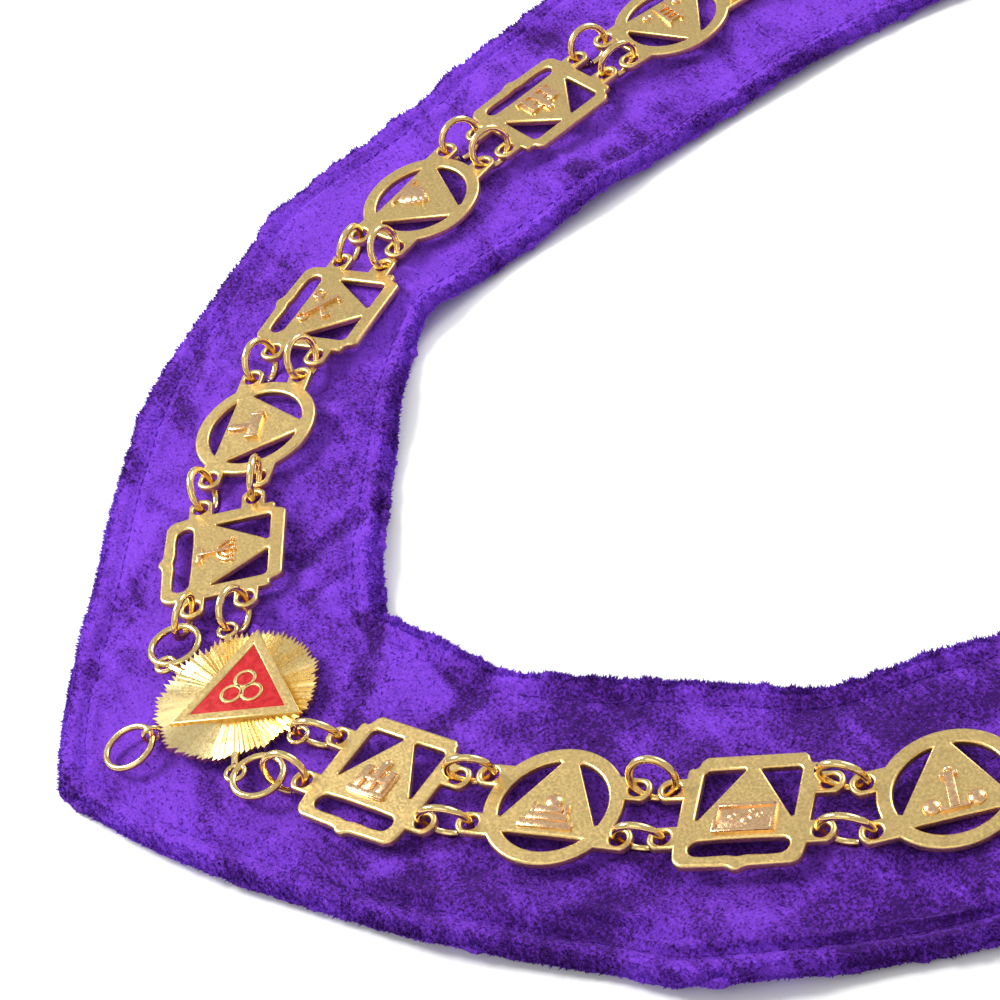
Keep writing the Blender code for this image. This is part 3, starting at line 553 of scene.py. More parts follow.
def bent_wire(name, points, radius, closed=False, sides=2):
    """A round wire along points."""
    curve = bpy.data.curves.new(name, "CURVE")
    curve.dimensions = "3D"
    curve.bevel_depth = radius
    curve.bevel_resolution = sides
    curve.use_fill_caps = True
    spline = curve.splines.new("POLY")
    spline.points.add(len(points) - 1)
    for point, place in zip(spline.points, points):
        point.co = (*place, 1.0)
    spline.use_cyclic_u = closed
    drawn = bpy.data.objects.new(name, curve)
    bpy.context.scene.collection.objects.link(drawn)
    return as_mesh(drawn)


def placed_copy(master, name, matrix):
    """A copy of a piece with its own mesh, moved in its mesh."""
    made = master.copy()
    made.data = master.data.copy()
    made.name = name
    made.data.transform(matrix)
    bpy.context.scene.collection.objects.link(made)
    return made


def painted(obj, material, smooth=32.0):
    """One material all over, and smooth shading up to an angle."""
    obj.data.materials.clear()
    obj.data.materials.append(material)
    bpy.ops.object.select_all(action="DESELECT")
    bpy.context.view_layer.objects.active = obj
    obj.select_set(True)
    bpy.ops.object.shade_smooth_by_angle(angle=math.radians(smooth))
    return obj


def flat_faces(obj):
    """Mark the rim of every level face sharp, so that the face stays evenly lit."""
    normals = [p.normal.copy() for p in obj.data.polygons]
    level = [abs(n.z) > 0.9995 for n in normals]
    edge_faces = {}
    for number, polygon in enumerate(obj.data.polygons):
        for key in polygon.edge_keys:
            edge_faces.setdefault(key, []).append(number)
    for edge in obj.data.edges:
        around = edge_faces.get(tuple(edge.key), [])
        if len(around) == 2 and level[around[0]] != level[around[1]]:
            edge.use_edge_sharp = True
    return obj


def joined(name, pieces):
    """Join pieces into one object and name it."""
    bpy.ops.object.select_all(action="DESELECT")
    for piece in pieces:
        piece.select_set(True)
    bpy.context.view_layer.objects.active = pieces[0]
    bpy.ops.object.join()
    made = bpy.context.object
    made.name = name
    made.data.name = name
    return made


def arc(x, y, radius, start, end, steps):
    """Points along an arc, in degrees, both ends in."""
    out = []
    for i in range(steps + 1):
        a = math.radians(start + (end - start) * i / steps)
        out.append((x + radius * math.cos(a), y + radius * math.sin(a)))
    return out


print("tools ready")

# %% [markdown]
# ## The plaques' outlines
# The square plaque has stepped upper corners, rounded lower ones and a small nib, and the round
# one is a plain disc. Both hold a triangle that points to the neck, with openings beside it and
# below it, and each has four eyes for the jump rings. All sizes are shares of the plaque's radius.

# %% Draw the outlines
EYE_RADIUS = 0.21
EYE_HOLE = 0.122
REACH = LUG_REACH / PLAQUE_RADIUS
ACROSS = LUG_ACROSS / PLAQUE_RADIUS
PLATE_THICK = 0.0021
PLATE_EDGE = 0.00055
FULL = 360.0


def mirrored(half):
    """A closed loop from its +X half, listed from below to above."""
    return half + [(-x, y) for x, y in reversed(half) if abs(x) > 1e-9]


def sized(loop):
    return [(x * PLAQUE_RADIUS, y * PLAQUE_RADIUS) for x, y in loop]


def eye_outline(side_at, across):
    """The outline of one eye on the +X side, whose neck runs into the plaque's edge."""
    low, high = across - EYE_RADIUS * 0.9, across + EYE_RADIUS * 0.9
    return [(side_at(low), low)] + arc(REACH, across, EYE_RADIUS, -64.0, 64.0, 12) + [(side_at(high), high)]


def square_loops():
    def side(_):
        return 0.92

    half = [(0.0, -1.03), (0.05, -1.025), (0.10, -0.985), (0.17, -0.965), (0.50, -0.955)]
    half += arc(0.70, -0.75, 0.205, -75.0, -12.0, 6)
    half += eye_outline(side, -ACROSS) + eye_outline(side, ACROSS)
    half += [(0.92, 0.74), (0.905, 0.765)] + arc(0.83, 0.83, 0.05, -50.0, -130.0, 3)
    half += [(0.765, 0.85), (0.755, 0.90), (0.69, 0.965), (0.66, 0.97)]
    window = [(0.105, 0.70), (0.13, 0.73)] + arc(0.59, 0.64, 0.09, 90.0, 0.0, 5)
    window += arc(0.655, -0.12, 0.025, 0.0, -130.0, 4)
    left = [(-x, y) for x, y in reversed(window)]
    slot = [(0.0, -0.80), (0.14, -0.775), (0.46, -0.785)] + arc(0.56, -0.64, 0.135, -80.0, 78.0, 9)
    slot += [(0.30, -0.495)]
    return mirrored(half), window, left, mirrored(slot)


def round_loops():
    def side(height):
        return math.sqrt(1.0 - height ** 2)

    half = arc(0.0, 0.0, 1.0, -90.0, -44.0, 14)
    half[0] = (0.0, -1.0)
    half += eye_outline(side, -ACROSS) + arc(0.0, 0.0, 1.0, -11.0, 11.0, 8) + eye_outline(side, ACROSS)
    half += arc(0.0, 0.0, 1.0, 44.0, 89.0, 14) + [(0.0, 1.0)]
    window = [(0.135, 0.735)] + arc(0.0, 0.0, 0.775, 77.0, -18.0, 26) + [(0.695, -0.262)]
    left = [(-x, y) for x, y in reversed(window)]
    lens = [(0.50, -0.505)] + arc(0.0, 0.0, 0.775, -41.5, -138.5, 26) + [(-0.50, -0.505)]
    return half and mirrored(half), window, left, lens


def plaque_plate(name, loops):
    """The flat pierced plate with its four eyes, centred on its middle plane."""
    eyes = [arc(sx * REACH, sy * ACROSS, EYE_HOLE, 0.0, FULL, 20)[:-1] for sx in (-1, 1) for sy in (-1, 1)]
    made = cut_plate(name, [sized(loop) for loop in (*loops, *eyes)], PLATE_THICK, PLATE_EDGE,
                     -PLATE_THICK / 2.0)
    return flat_faces(painted(made, SATIN_GOLD))


SQUARE_PLATE = plaque_plate("square_plate", square_loops())
ROUND_PLATE = plaque_plate("round_plate", round_loops())
print("plates:", len(SQUARE_PLATE.data.polygons), len(ROUND_PLATE.data.polygons), "faces")

# %% [markdown]
# ## Cast emblems
# Every triangle carries a small cast relief of a traditional tool or figure. Each is built up from
# a few bars, discs and arcs with rounded edges, which is how a die-cutter builds them too.
# They stand a little over half a millimetre high, in a slightly redder gold.

# %% The emblems' tables
# Shapes: bar x, y, length, breadth, turn, rise; disc x, y, radius, rise; arc x, y, radius, start,
# end, breadth. All are shares of the plaque's radius, and rise counts in relief heights.
CHEST = (("bar", 0.02, -0.17, 0.84, 0.46, 0, 0.8), ("bar", 0.02, 0.045, 0.84, 0.06, 0, 1.5),
         ("bar", 0.02, -0.385, 0.84, 0.06, 0, 1.5), ("bar", -0.38, -0.17, 0.06, 0.46, 0, 1.5),
         ("bar", 0.42, -0.17, 0.06, 0.46, 0, 1.5), ("disc", -0.16, -0.14, 0.08, 1.5),
         ("disc", 0.04, -0.21, 0.10, 1.6), ("disc", 0.22, -0.13, 0.07, 1.5),
         ("disc", 0.10, -0.06, 0.06, 1.4))
TOWER = (("bar", -0.02, -0.12, 0.62, 0.48, 0, 0.7), ("bar", -0.22, -0.06, 0.10, 0.40, 0, 1.5),
         ("bar", -0.02, -0.02, 0.12, 0.50, 0, 1.6), ("bar", 0.19, -0.06, 0.10, 0.40, 0, 1.5),
         ("bar", -0.02, -0.06, 0.50, 0.07, 0, 1.4), ("bar", -0.02, -0.30, 0.66, 0.08, 0, 1.5),
         ("disc", -0.02, 0.26, 0.07, 1.5), ("disc", -0.12, 0.10, 0.05, 1.4), ("disc", 0.09, 0.10, 0.05, 1.4))
STEPS = (("bar", 0.0, -0.34, 0.80, 0.13, 0, 0.9), ("bar", 0.0, -0.22, 0.60, 0.12, 0, 1.3),
         ("bar", 0.0, -0.11, 0.40, 0.11, 0, 1.7), ("disc", 0.0, 0.05, 0.13, 1.6),
         ("bar", -0.24, -0.10, 0.06, 0.22, 0, 1.2), ("bar", 0.24, -0.10, 0.06, 0.22, 0, 1.2))
PILLAR = (("bar", 0.0, -0.08, 0.13, 0.58, 0, 1.6), ("disc", -0.30, -0.27, 0.13, 1.7),
          ("disc", 0.30, -0.27, 0.13, 1.7), ("bar", 0.0, -0.36, 0.40, 0.07, 0, 1.2),
          ("bar", 0.0, 0.20, 0.24, 0.07, 0, 1.4), ("disc", 0.0, 0.30, 0.06, 1.3))
CANDLES = (("bar", 0.0, -0.10, 0.05, 0.52, 0, 1.4), ("arc", 0.0, 0.12, 0.12, 180, 360, 0.045),
           ("arc", 0.0, 0.14, 0.22, 180, 360, 0.045), ("bar", 0.0, -0.36, 0.34, 0.08, 0, 1.3),
           ("disc", -0.22, 0.16, 0.04, 1.6), ("disc", -0.12, 0.15, 0.04, 1.6),
           ("disc", 0.0, 0.19, 0.045, 1.7),
           ("disc", 0.12, 0.15, 0.04, 1.6), ("disc", 0.22, 0.16, 0.04, 1.6))
MALLET = (("bar", 0.0, 0.02, 0.52, 0.19, 4, 1.6), ("bar", 0.02, -0.22, 0.12, 0.36, 4, 1.3),
          ("bar", -0.24, 0.01, 0.05, 0.22, 4, 1.9), ("bar", 0.24, 0.04, 0.05, 0.22, 4, 1.9),
          ("disc", 0.03, -0.38, 0.08, 1.3))
KEYS = (("bar", 0.0, -0.12, 0.66, 0.07, 38, 1.3), ("bar", 0.0, -0.12, 0.66, 0.07, -38, 1.8),
        ("arc", -0.27, -0.33, 0.09, 0, 360, 0.05), ("arc", 0.27, -0.33, 0.09, 0, 360, 0.05),
        ("bar", 0.20, 0.10, 0.05, 0.13, 38, 1.4), ("bar", -0.20, 0.10, 0.05, 0.13, -38, 1.4))
LADDER = (("bar", -0.11, -0.10, 0.05, 0.62, 0, 1.5), ("bar", 0.11, -0.10, 0.05, 0.62, 0, 1.5),
          ("bar", 0.0, 0.12, 0.24, 0.045, 0, 1.3), ("bar", 0.0, 0.0, 0.24, 0.045, 0, 1.3),
          ("bar", 0.0, -0.12, 0.24, 0.045, 0, 1.3), ("bar", 0.0, -0.24, 0.24, 0.045, 0, 1.3),
          ("disc", -0.30, -0.30, 0.09, 1.4), ("disc", 0.30, -0.30, 0.09, 1.4))
HIVE = (("disc", 0.0, -0.24, 0.24, 1.2), ("disc", 0.0, -0.14, 0.20, 1.7), ("disc", 0.0, -0.03, 0.15, 2.0),
        ("disc", 0.0, 0.07, 0.09, 2.1), ("bar", 0.0, -0.38, 0.60, 0.07, 0, 1.2))
EMBLEM_OF = {1: TOWER, 2: STEPS, 3: CHEST, 4: PILLAR, 23: CANDLES, 22: MALLET, 21: KEYS, 20: HIVE,
             19: TOWER, 18: LADDER, 17: CHEST, 16: MALLET}
SPARE_EMBLEMS = (KEYS, LADDER, CANDLES, PILLAR, HIVE, MALLET, CHEST, STEPS)
RELIEF = 0.00062
RELIEF_EDGE = 0.00016
print("emblems:", len(EMBLEM_OF) + len(SPARE_EMBLEMS))


# %% Build one emblem
def relief_bar(x, y, length, breadth, turn, rise):
    """A bar with bevelled edges, standing on the plate's face."""
    height = RELIEF * rise + RELIEF
    bpy.ops.mesh.primitive_cube_add(size=1.0)
    made = bpy.context.object
    made.data.transform(Matrix.Diagonal((length * PLAQUE_RADIUS, breadth * PLAQUE_RADIUS, height, 1.0)))
    bpy.ops.object.mode_set(mode="EDIT")
    bpy.ops.mesh.select_all(action="SELECT")
    bpy.ops.mesh.bevel(offset=min(RELIEF_EDGE, breadth * PLAQUE_RADIUS * 0.3), segments=2)
    bpy.ops.object.mode_set(mode="OBJECT")
    made.data.transform(Matrix.Translation((x * PLAQUE_RADIUS, y * PLAQUE_RADIUS, 0.0))
                        @ Matrix.Rotation(math.radians(turn), 4, "Z"))
    made.data.transform(Matrix.Translation((0.0, 0.0, PLATE_THICK / 2.0 - RELIEF + height / 2.0)))
    return made


def relief_disc(x, y, radius, rise):
    """A low dome."""
    bpy.ops.mesh.primitive_uv_sphere_add(segments=20, ring_count=10, radius=1.0)
    made = bpy.context.object
    wide = radius * PLAQUE_RADIUS
    made.data.transform(Matrix.Diagonal((wide, wide, RELIEF * rise, 1.0)))
    foot = PLATE_THICK / 2.0 + RELIEF * 0.1
    made.data.transform(Matrix.Translation((x * PLAQUE_RADIUS, y * PLAQUE_RADIUS, foot)))
    return made


def relief_arc(x, y, radius, start, end, breadth):
    """A bent bead of wire, half sunk in the face."""
    steps = 16
    points = [(px * PLAQUE_RADIUS, py * PLAQUE_RADIUS, PLATE_THICK / 2.0 + RELIEF * 0.35)
              for px, py in arc(x, y, radius, start, end, steps)]
    ring = end - start >= FULL
    return bent_wire("bead", points[:-1] if ring else points, breadth * PLAQUE_RADIUS / 2.0, ring)


RELIEF_MAKERS = {"bar": relief_bar, "disc": relief_disc, "arc": relief_arc}


def emblem(shapes):
    """All the shapes of one emblem, in the plaque's own frame."""
    made = [RELIEF_MAKERS[shape[0]](*shape[1:]) for shape in shapes]
    return painted(joined("emblem", made), RELIEF_GOLD, 40.0)


# %% [markdown]
# ## Jump rings
# The plaques are joined by round wire rings that stand nearly upright through their eyes. Each
# joins the trailing eye of one plaque with the leading eye of the next one, so its place comes
# from those two eyes, and it is just wide enough to span them.

# %% Ring places
RING_RADIUS = 0.0056
RING_WIRE = 0.0019
RING_LEAN = 12.0
RING_EASE = 1.035
HOOK_PLAY = 0.0018
OUTER_RING_RADIUS = 0.0064
SUN_RADIUS = 0.0218
EYELETS = {1: (0.00255, 17.0), -1: (0.0041, -24.0)}


def eyelet_local(end, rail):
    """Place of a centrepiece eyelet in its own frame."""
    past, turn = EYELETS[rail]
    reach = SUN_RADIUS + past
    return Vector((end * reach * math.cos(math.radians(turn)), reach * math.sin(math.radians(turn)), 0.0))


def rail_ends(item, rail):
    """The two eyes that a ring joins between an item and the next one."""
    after = (item + 1) % ITEMS
    eye = Vector((LUG_REACH, rail * LUG_ACROSS, 0.0))
    start = FRAMES[0] @ eyelet_local(1, rail) if item == 0 else FRAMES[item] @ eye
    back = Vector((-LUG_REACH, rail * LUG_ACROSS, 0.0))
    end = FRAMES[0] @ eyelet_local(-1, rail) if after == 0 else FRAMES[after] @ back
    return start, end


def wire_ring(centre, along, up, radius, wire):
    """A round wire ring whose plane holds the directions along and up."""
    bpy.ops.mesh.primitive_torus_add(major_segments=44, minor_segments=12, major_radius=radius,
                                     minor_radius=wire / 2.0)
    made = bpy.context.object
    made.data.transform(Matrix((along, up, along.cross(up).normalized())).transposed().to_4x4())
    made.data.transform(Matrix.Translation(centre))
    made.location = (0.0, 0.0, 0.0)
    return painted(made, WIRE_GOLD, 60.0)


RING_BOTTOMS = []


def spanning_ring(start, end, lean):
    """A ring on edge through two eyes, leaning to one side."""
    along = (end - start).normalized()
    side = along.cross(Vector((0.0, 0.0, 1.0))).normalized()
    upright = side.cross(along).normalized()
    up = (upright * math.cos(lean) + side * math.sin(lean)).normalized()
    half = (end - start).length / 2.0
    radius = max(RING_RADIUS, half * RING_EASE)
    centre = (start + end) / 2.0 + up * math.sqrt(max(radius ** 2 - half ** 2, 0.0))
    low = centre - up * (radius + RING_WIRE / 2.0)
    RING_BOTTOMS.append((low, along.to_2d().normalized(), radius))
    return wire_ring(centre, along, up, radius, RING_WIRE)


def hooked_end(start, end):
    """Where the second ring at the centrepiece passes inside the first, which lies flat."""
    along = (end - start).normalized()
    return start + along * (2.0 * OUTER_RING_RADIUS - RING_WIRE - HOOK_PLAY)


print("ring radius:", RING_RADIUS)

# %% Build every plaque
random.seed(7)
for item in range(1, ITEMS):
    square = item % 2 == 1
    name = ("square" if square else "round") + f"_plaque_{item:02d}"
    shapes = EMBLEM_OF.get(item, SPARE_EMBLEMS[item % len(SPARE_EMBLEMS)])
    plate = placed_copy(SQUARE_PLATE if square else ROUND_PLATE, name, Matrix())
    body = joined(name, [plate, emblem(shapes)])
    body.data.transform(FRAMES[item])
    parts = [body]
    for rail in (-1, 1):
        lean = math.radians(RING_LEAN) * (1.0 if (item + rail) % 4 else -1.0)
        start, end = rail_ends(item - 1, rail)
        if item == 1 and rail < 0:
            start = hooked_end(start, end)
        parts.append(spanning_ring(start, end, lean))
        if item == ITEMS - 1:
            start, end = rail_ends(item, rail)
            if rail < 0:
                end = hooked_end(end, start)
            parts.append(spanning_ring(start, end, -lean))
    piece = joined(name + "_dressed", parts)
    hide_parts(name)
    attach(piece, "root")
for master in (SQUARE_PLATE, ROUND_PLATE):
    bpy.data.objects.remove(master, do_unlink=True)
print("plaques dressed:", ITEMS - 1, "rings:", len(RING_BOTTOMS))

# %% [markdown]
# ## The centrepiece
# A sunburst of fine rays carries a raised triangular frame with red enamel inside. Its rays are
# irregular, so the rim is a zigzag, and each ray is a ridge. A circle of points with high tips and
# low gaps, drawn in a few rings from the middle outwards, gives both at once.

# %% Sunburst
SUN_RAYS = 92
SUN_THICK = 0.0016
RAY_RISE = 0.00055
RAY_NOTCH = 0.0014
SUN_LOBES = 9
random.seed(31)
ray_reach = []
ray_high = []
for ray in range(SUN_RAYS):
    turn = 2.0 * math.pi * ray / SUN_RAYS
    swell = 0.014 * math.cos(SUN_LOBES * turn) + 0.010 * math.cos(23.0 * turn + 1.0)
    ray_reach.append(SUN_RADIUS * (0.985 + swell + random.uniform(-0.028, 0.020)))
    ray_high.append(random.uniform(0.35, 1.0))
SUN_SHARES = (0.0, 0.25, 0.5, 0.75, 0.9, 1.0)
verts = []
faces = []
spokes = 2 * SUN_RAYS
top_z = SUN_THICK / 2.0
for share in SUN_SHARES[1:]:
    for spoke in range(spokes):
        turn = 2.0 * math.pi * (spoke + 0.35 * (spoke % 2)) / spokes
        ray = spoke // 2
        reach = ray_reach[ray] - (RAY_NOTCH if spoke % 2 else 0.0) * (share == 1.0)
        ridge = ray_high[ray] * RAY_RISE if spoke % 2 == 0 else -RAY_RISE * 0.45
        fall = 0.0002 * share ** 3
        verts.append((reach * share * math.cos(turn), reach * share * math.sin(turn),
                      top_z + ridge * min(1.0, share * 1.6) - fall))
rings = len(SUN_SHARES) - 1
for ring in range(rings - 1):
    for spoke in range(spokes):
        after = (spoke + 1) % spokes
        faces.append((ring * spokes + spoke, (ring + 1) * spokes + spoke,
                      (ring + 1) * spokes + after, ring * spokes + after))
middle = len(verts)
verts.append((0.0, 0.0, top_z))
low_ring = len(verts)
for spoke in range(spokes):
    x, y, _ = verts[(rings - 1) * spokes + spoke]
    verts.append((x * 0.985, y * 0.985, -top_z))
low_middle = len(verts)
verts.append((0.0, 0.0, -top_z))
for spoke in range(spokes):
    after = (spoke + 1) % spokes
    faces.append((middle, spoke, after))
    faces.append(((rings - 1) * spokes + spoke, low_ring + spoke, low_ring + after,
                  (rings - 1) * spokes + after))
    faces.append((low_middle, low_ring + after, low_ring + spoke))
sun_mesh = bpy.data.meshes.new("sunburst")
sun_mesh.from_pydata(verts, [], faces)
sunburst = bpy.data.objects.new("sunburst", sun_mesh)
bpy.context.scene.collection.objects.link(sunburst)
painted(sunburst, RAY_GOLD, 1.0)
sunburst.data.transform(FRAMES[0])
print("sunburst faces:", len(sun_mesh.polygons))

# %% Frame, trefoil and enamel
CENTRE_TURN = -5.0
FRAME_HALF_BASE = 0.0173
FRAME_BASE_UP = 0.0121
FRAME_APEX_DOWN = 0.0178
FRAME_BAR = 0.0027
FRAME_RISE = 0.0012
LOBE = 0.0030
LOBE_OUT = 0.0031
LOBE_LINE = 0.00085
FIELD = FRAMES[0] @ Matrix.Rotation(math.radians(CENTRE_TURN), 4, "Z")
TRIANGLE = [(0.0, -FRAME_APEX_DOWN), (FRAME_HALF_BASE, FRAME_BASE_UP), (-FRAME_HALF_BASE, FRAME_BASE_UP)]


def drawn_in(points, bar):
    """The triangle inside another, at a distance from its sides."""
    centre = Vector((sum(x for x, _ in points) / 3.0, sum(y for _, y in points) / 3.0))
    corners = [Vector(p) for p in points]
    lines = []
    for a, b in zip(corners, corners[1:] + corners[:1]):
        out = Vector((-(b - a).y, (b - a).x)).normalized()
        out = out if out.dot(centre - a) > 0.0 else -out
        lines.append((a + out * bar, b - a))
    inner = []
    for (p, d), (q, e) in zip(lines[-1:] + lines[:-1], lines):
        share = ((q.x - p.x) * e.y - (q.y - p.y) * e.x) / (d.x * e.y - d.y * e.x)
        inner.append(tuple(p + d * share))
    return inner


rim = cut_plate("frame", [TRIANGLE, drawn_in(TRIANGLE, FRAME_BAR)], FRAME_RISE + 0.0006, 0.0004,
                SUN_THICK / 2.0 - 0.0006)
flat_faces(painted(rim, SATIN_GOLD))
slope = math.hypot(FRAME_HALF_BASE, FRAME_BASE_UP + FRAME_APEX_DOWN)
in_radius = FRAME_HALF_BASE * (FRAME_BASE_UP + FRAME_APEX_DOWN) / (FRAME_HALF_BASE + slope)
trefoil_middle = (0.0, FRAME_BASE_UP - in_radius)
lobes = []
for turn in (-90.0, 30.0, 150.0):
    x = trefoil_middle[0] + LOBE_OUT * math.cos(math.radians(turn))
    y = trefoil_middle[1] + LOBE_OUT * math.sin(math.radians(turn))
    outer = arc(x, y, LOBE, 0.0, FULL, 36)[:-1]
    inner = arc(x, y, LOBE - LOBE_LINE, 0.0, FULL, 36)[:-1]
    lobes.append(painted(cut_plate("lobe", [outer, inner], FRAME_RISE, 0.00014, SUN_THICK / 2.0 - 0.0001),
                         SATIN_GOLD))
for part in [rim] + lobes:
    part.data.transform(FIELD)
enamel = cut_plate("enamel", [drawn_in(TRIANGLE, FRAME_BAR - 0.0002)], 0.0007, 0.0001,
                   SUN_THICK / 2.0 + 0.0001)
painted(enamel, RED_ENAMEL)
enamel.data.transform(FIELD)
enamel.name = "enamel_field"
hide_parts("red_enamel")
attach(enamel, "root")
print("frame and enamel placed")

# %% Eyelets, rings and bail of the centrepiece
UP = Vector((0.0, 0.0, 1.0))
JEWEL_RING_RADIUS = 0.0064
JEWEL_RING_WIRE = 0.0017
BAIL_RADIUS = 0.0021
BAIL_WIRE = 0.0012
EYELET_RING = 0.0024
EYELET_WIRE = 0.0013
STEM_WIRE = 0.0011
CLEARANCE = 0.0003
extras = []
for end in (-1, 1):
    for rail in (-1, 1):
        place = eyelet_local(end, rail)
        spot = FRAMES[0] @ place
        away = (spot - FRAMES[0].translation).normalized()
        side = UP.cross(away).normalized()
        extras.append(wire_ring(spot, away, side, EYELET_RING, EYELET_WIRE))
        stem = [FRAMES[0].translation + away * (SUN_RADIUS * 0.9), spot - away * 0.0023]
        extras.append(painted(bent_wire("stem", [tuple(p) for p in stem], STEM_WIRE), WIRE_GOLD))
    start, finish_point = rail_ends(0, -1) if end > 0 else reversed(rail_ends(ITEMS - 1, -1))
    along = (finish_point - start).normalized()
    side = UP.cross(along).normalized()
    extras.append(wire_ring(start + along * OUTER_RING_RADIUS, along, side, OUTER_RING_RADIUS, RING_WIRE))
down = (FIELD.to_3x3() @ Vector((-0.06, -1.0, 0.0))).normalized()
bail = FIELD.translation + down * (SUN_RADIUS + 0.001)
bail.z = CLOTH_THICK + CLEARANCE + BAIL_RADIUS + BAIL_WIRE / 2.0
outward = (FIELD.to_3x3() @ Vector((0.0, -1.0, 0.0))).normalized()
extras.append(wire_ring(bail, outward, UP, BAIL_RADIUS, BAIL_WIRE))
far_height = CLOTH_THICK + CLEARANCE + JEWEL_RING_WIRE / 2.0
drop = (bail.z - far_height) / (2.0 * JEWEL_RING_RADIUS)
ring_along = Vector((down.x, down.y, -drop)).normalized()
ring_side = ring_along.cross(UP).normalized()
jewel = wire_ring(bail + ring_along * JEWEL_RING_RADIUS, ring_along, ring_side, JEWEL_RING_RADIUS,
                  JEWEL_RING_WIRE)
jewel.name = "jewel_ring_wire"
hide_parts("jewel_ring")
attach(jewel, "root")
centre = joined("centrepiece_dressed", [sunburst, rim] + lobes + extras)
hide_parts("centrepiece")
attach(centre, "root")
print("centrepiece faces:", len(centre.data.polygons))

# %% [markdown]
# ## The velvet band
# The band is a padded tube of cloth: flat below, plump above, with a stitched groove a little way
# in from each edge. It is made in three steps. First a grid of points is laid round the neck, in
# its own true section. Then a cloth simulation puffs the top up between the seams, which stay
# pinned. Last the grid is made finer, and the seam, the puckers, the creases, the crushed nap and
# the hollows under the jump rings are pressed into it, and its rim is roughened.

# %% The coarse grid
STATIONS = 400
TOP_POINTS = 30
EDGE_POINTS = 4
UNDER_POINTS = 8
STITCH_INSET = 0.0072
EDGE_ROUND = 0.0016
RIM_HEIGHT = 0.0046
GROOVE_DEPTH = 0.0011
REST_HALF_WIDTH = 0.014

station_at = np.linspace(0.0, ROUTE, STATIONS, endpoint=False)
cuts = [section(place_at(length)) for length in station_at]
neck_line = np.array([(c[0] + SHIFT)[:] for c in cuts])
outer_line = np.array([(c[1] + SHIFT)[:] for c in cuts])
chain_line = np.array([(c[2] + SHIFT)[:] for c in cuts])
band_widths = np.linalg.norm(outer_line - neck_line, axis=1)
chain_shares = np.linalg.norm(chain_line - neck_line, axis=1) / band_widths
loop_shares = station_at / ROUTE


def edge_lift(column):
    """Lift of one edge by the folds, round the loop."""
    total = np.zeros(STATIONS)
    for row in FOLD_ROWS:
        total += row[column] * np.exp(-((loop_shares - row[0]) / row[1]) ** 2)
    return total * CLOTH_THICK


def top_height(inside):
    """Height of the top at a distance in from the nearer edge."""
    rim = RIM_HEIGHT * np.clip(inside / EDGE_ROUND, 0.0, 1.0) ** 0.45
    pad = RIM_HEIGHT + (CLOTH_THICK - RIM_HEIGHT) * np.clip((inside - STITCH_INSET) / 0.007, 0.0, 1.0)
    groove = GROOVE_DEPTH * np.exp(-((inside - STITCH_INSET) / 0.0014) ** 2)
    return np.where(inside < EDGE_ROUND, rim, pad) - groove


top_shares = np.linspace(0.0, 1.0, TOP_POINTS + 2 * EDGE_POINTS)
top_shares = 0.5 - 0.5 * np.cos(np.pi * top_shares) * (0.72 + 0.28 * np.abs(np.cos(np.pi * top_shares)))
under_shares = np.linspace(1.0, 0.0, UNDER_POINTS + 2)[1:-1]
shares = np.concatenate([top_shares, under_shares])
is_top = np.arange(len(shares)) < len(top_shares)
lift_in, lift_out = edge_lift(2), edge_lift(3)
grid = np.zeros((STATIONS, len(shares), 3))
for column, share in enumerate(shares):
    grid[:, column, :2] = neck_line + (outer_line - neck_line) * share
    inside = np.minimum(share, 1.0 - share) * band_widths
    rest_in = chain_shares - REST_HALF_WIDTH / band_widths
    rest_out = chain_shares + REST_HALF_WIDTH / band_widths
    lift = np.where(share < rest_in, lift_in * (1.0 - share / rest_in), 0.0)
    lift = np.where(share > rest_out, lift_out * (share - rest_out) / (1.0 - rest_out), lift)
    z = top_height(inside) if is_top[column] else np.zeros(STATIONS)
    if share in (top_shares[0], top_shares[-1]) and is_top[column]:
        z = np.full(STATIONS, RIM_HEIGHT * 0.42)
    grid[:, column, 2] = z + lift
print("coarse grid:", grid.shape)


# %% The tube of cloth
def tube_mesh(name, points):
    """A closed tube from a grid of points that wraps both ways."""
    rows, columns = points.shape[:2]
    index = np.arange(rows * columns).reshape(rows, columns)
    right = np.roll(index, -1, axis=1)
    ahead = np.roll(index, -1, axis=0)
    both = np.roll(right, -1, axis=0)
    quads = np.stack([index, ahead, both, right], axis=-1).reshape(-1, 4)
    made = bpy.data.meshes.new(name)
    made.from_pydata(points.reshape(-1, 3).tolist(), [], quads.tolist())
    obj = bpy.data.objects.new(name, made)
    bpy.context.scene.collection.objects.link(obj)
    return obj


def read_points(obj, shape):
    """The points of a mesh as a grid."""
    flat = np.zeros(len(obj.data.vertices) * 3)
    obj.data.vertices.foreach_get("co", flat)
    return flat.reshape(shape)


SIM_FRAMES = 16
PUFF_CAP = 0.0012
inside_all = np.minimum(shares, 1.0 - shares)[None, :] * band_widths[:, None]
held = (~is_top)[None, :] | (inside_all < STITCH_INSET + 0.0012)
held = np.broadcast_to(held, grid.shape[:2])
soft = tube_mesh("velvet_soft", grid)
group = soft.vertex_groups.new(name="held")
group.add(np.nonzero(held.reshape(-1))[0].tolist(), 1.0, "REPLACE")
bpy.ops.object.select_all(action="DESELECT")
bpy.context.view_layer.objects.active = soft
soft.select_set(True)
cloth = soft.modifiers.new("cloth", "CLOTH")
cloth.settings.quality = 5
cloth.settings.mass = 0.25
cloth.settings.tension_stiffness = 12.0
cloth.settings.compression_stiffness = 12.0
cloth.settings.bending_stiffness = 0.15
cloth.settings.use_pressure = True
cloth.settings.uniform_pressure_force = 3.0
cloth.settings.shrink_min = -0.035
cloth.settings.effector_weights.gravity = 0.0
cloth.settings.vertex_group_mass = "held"
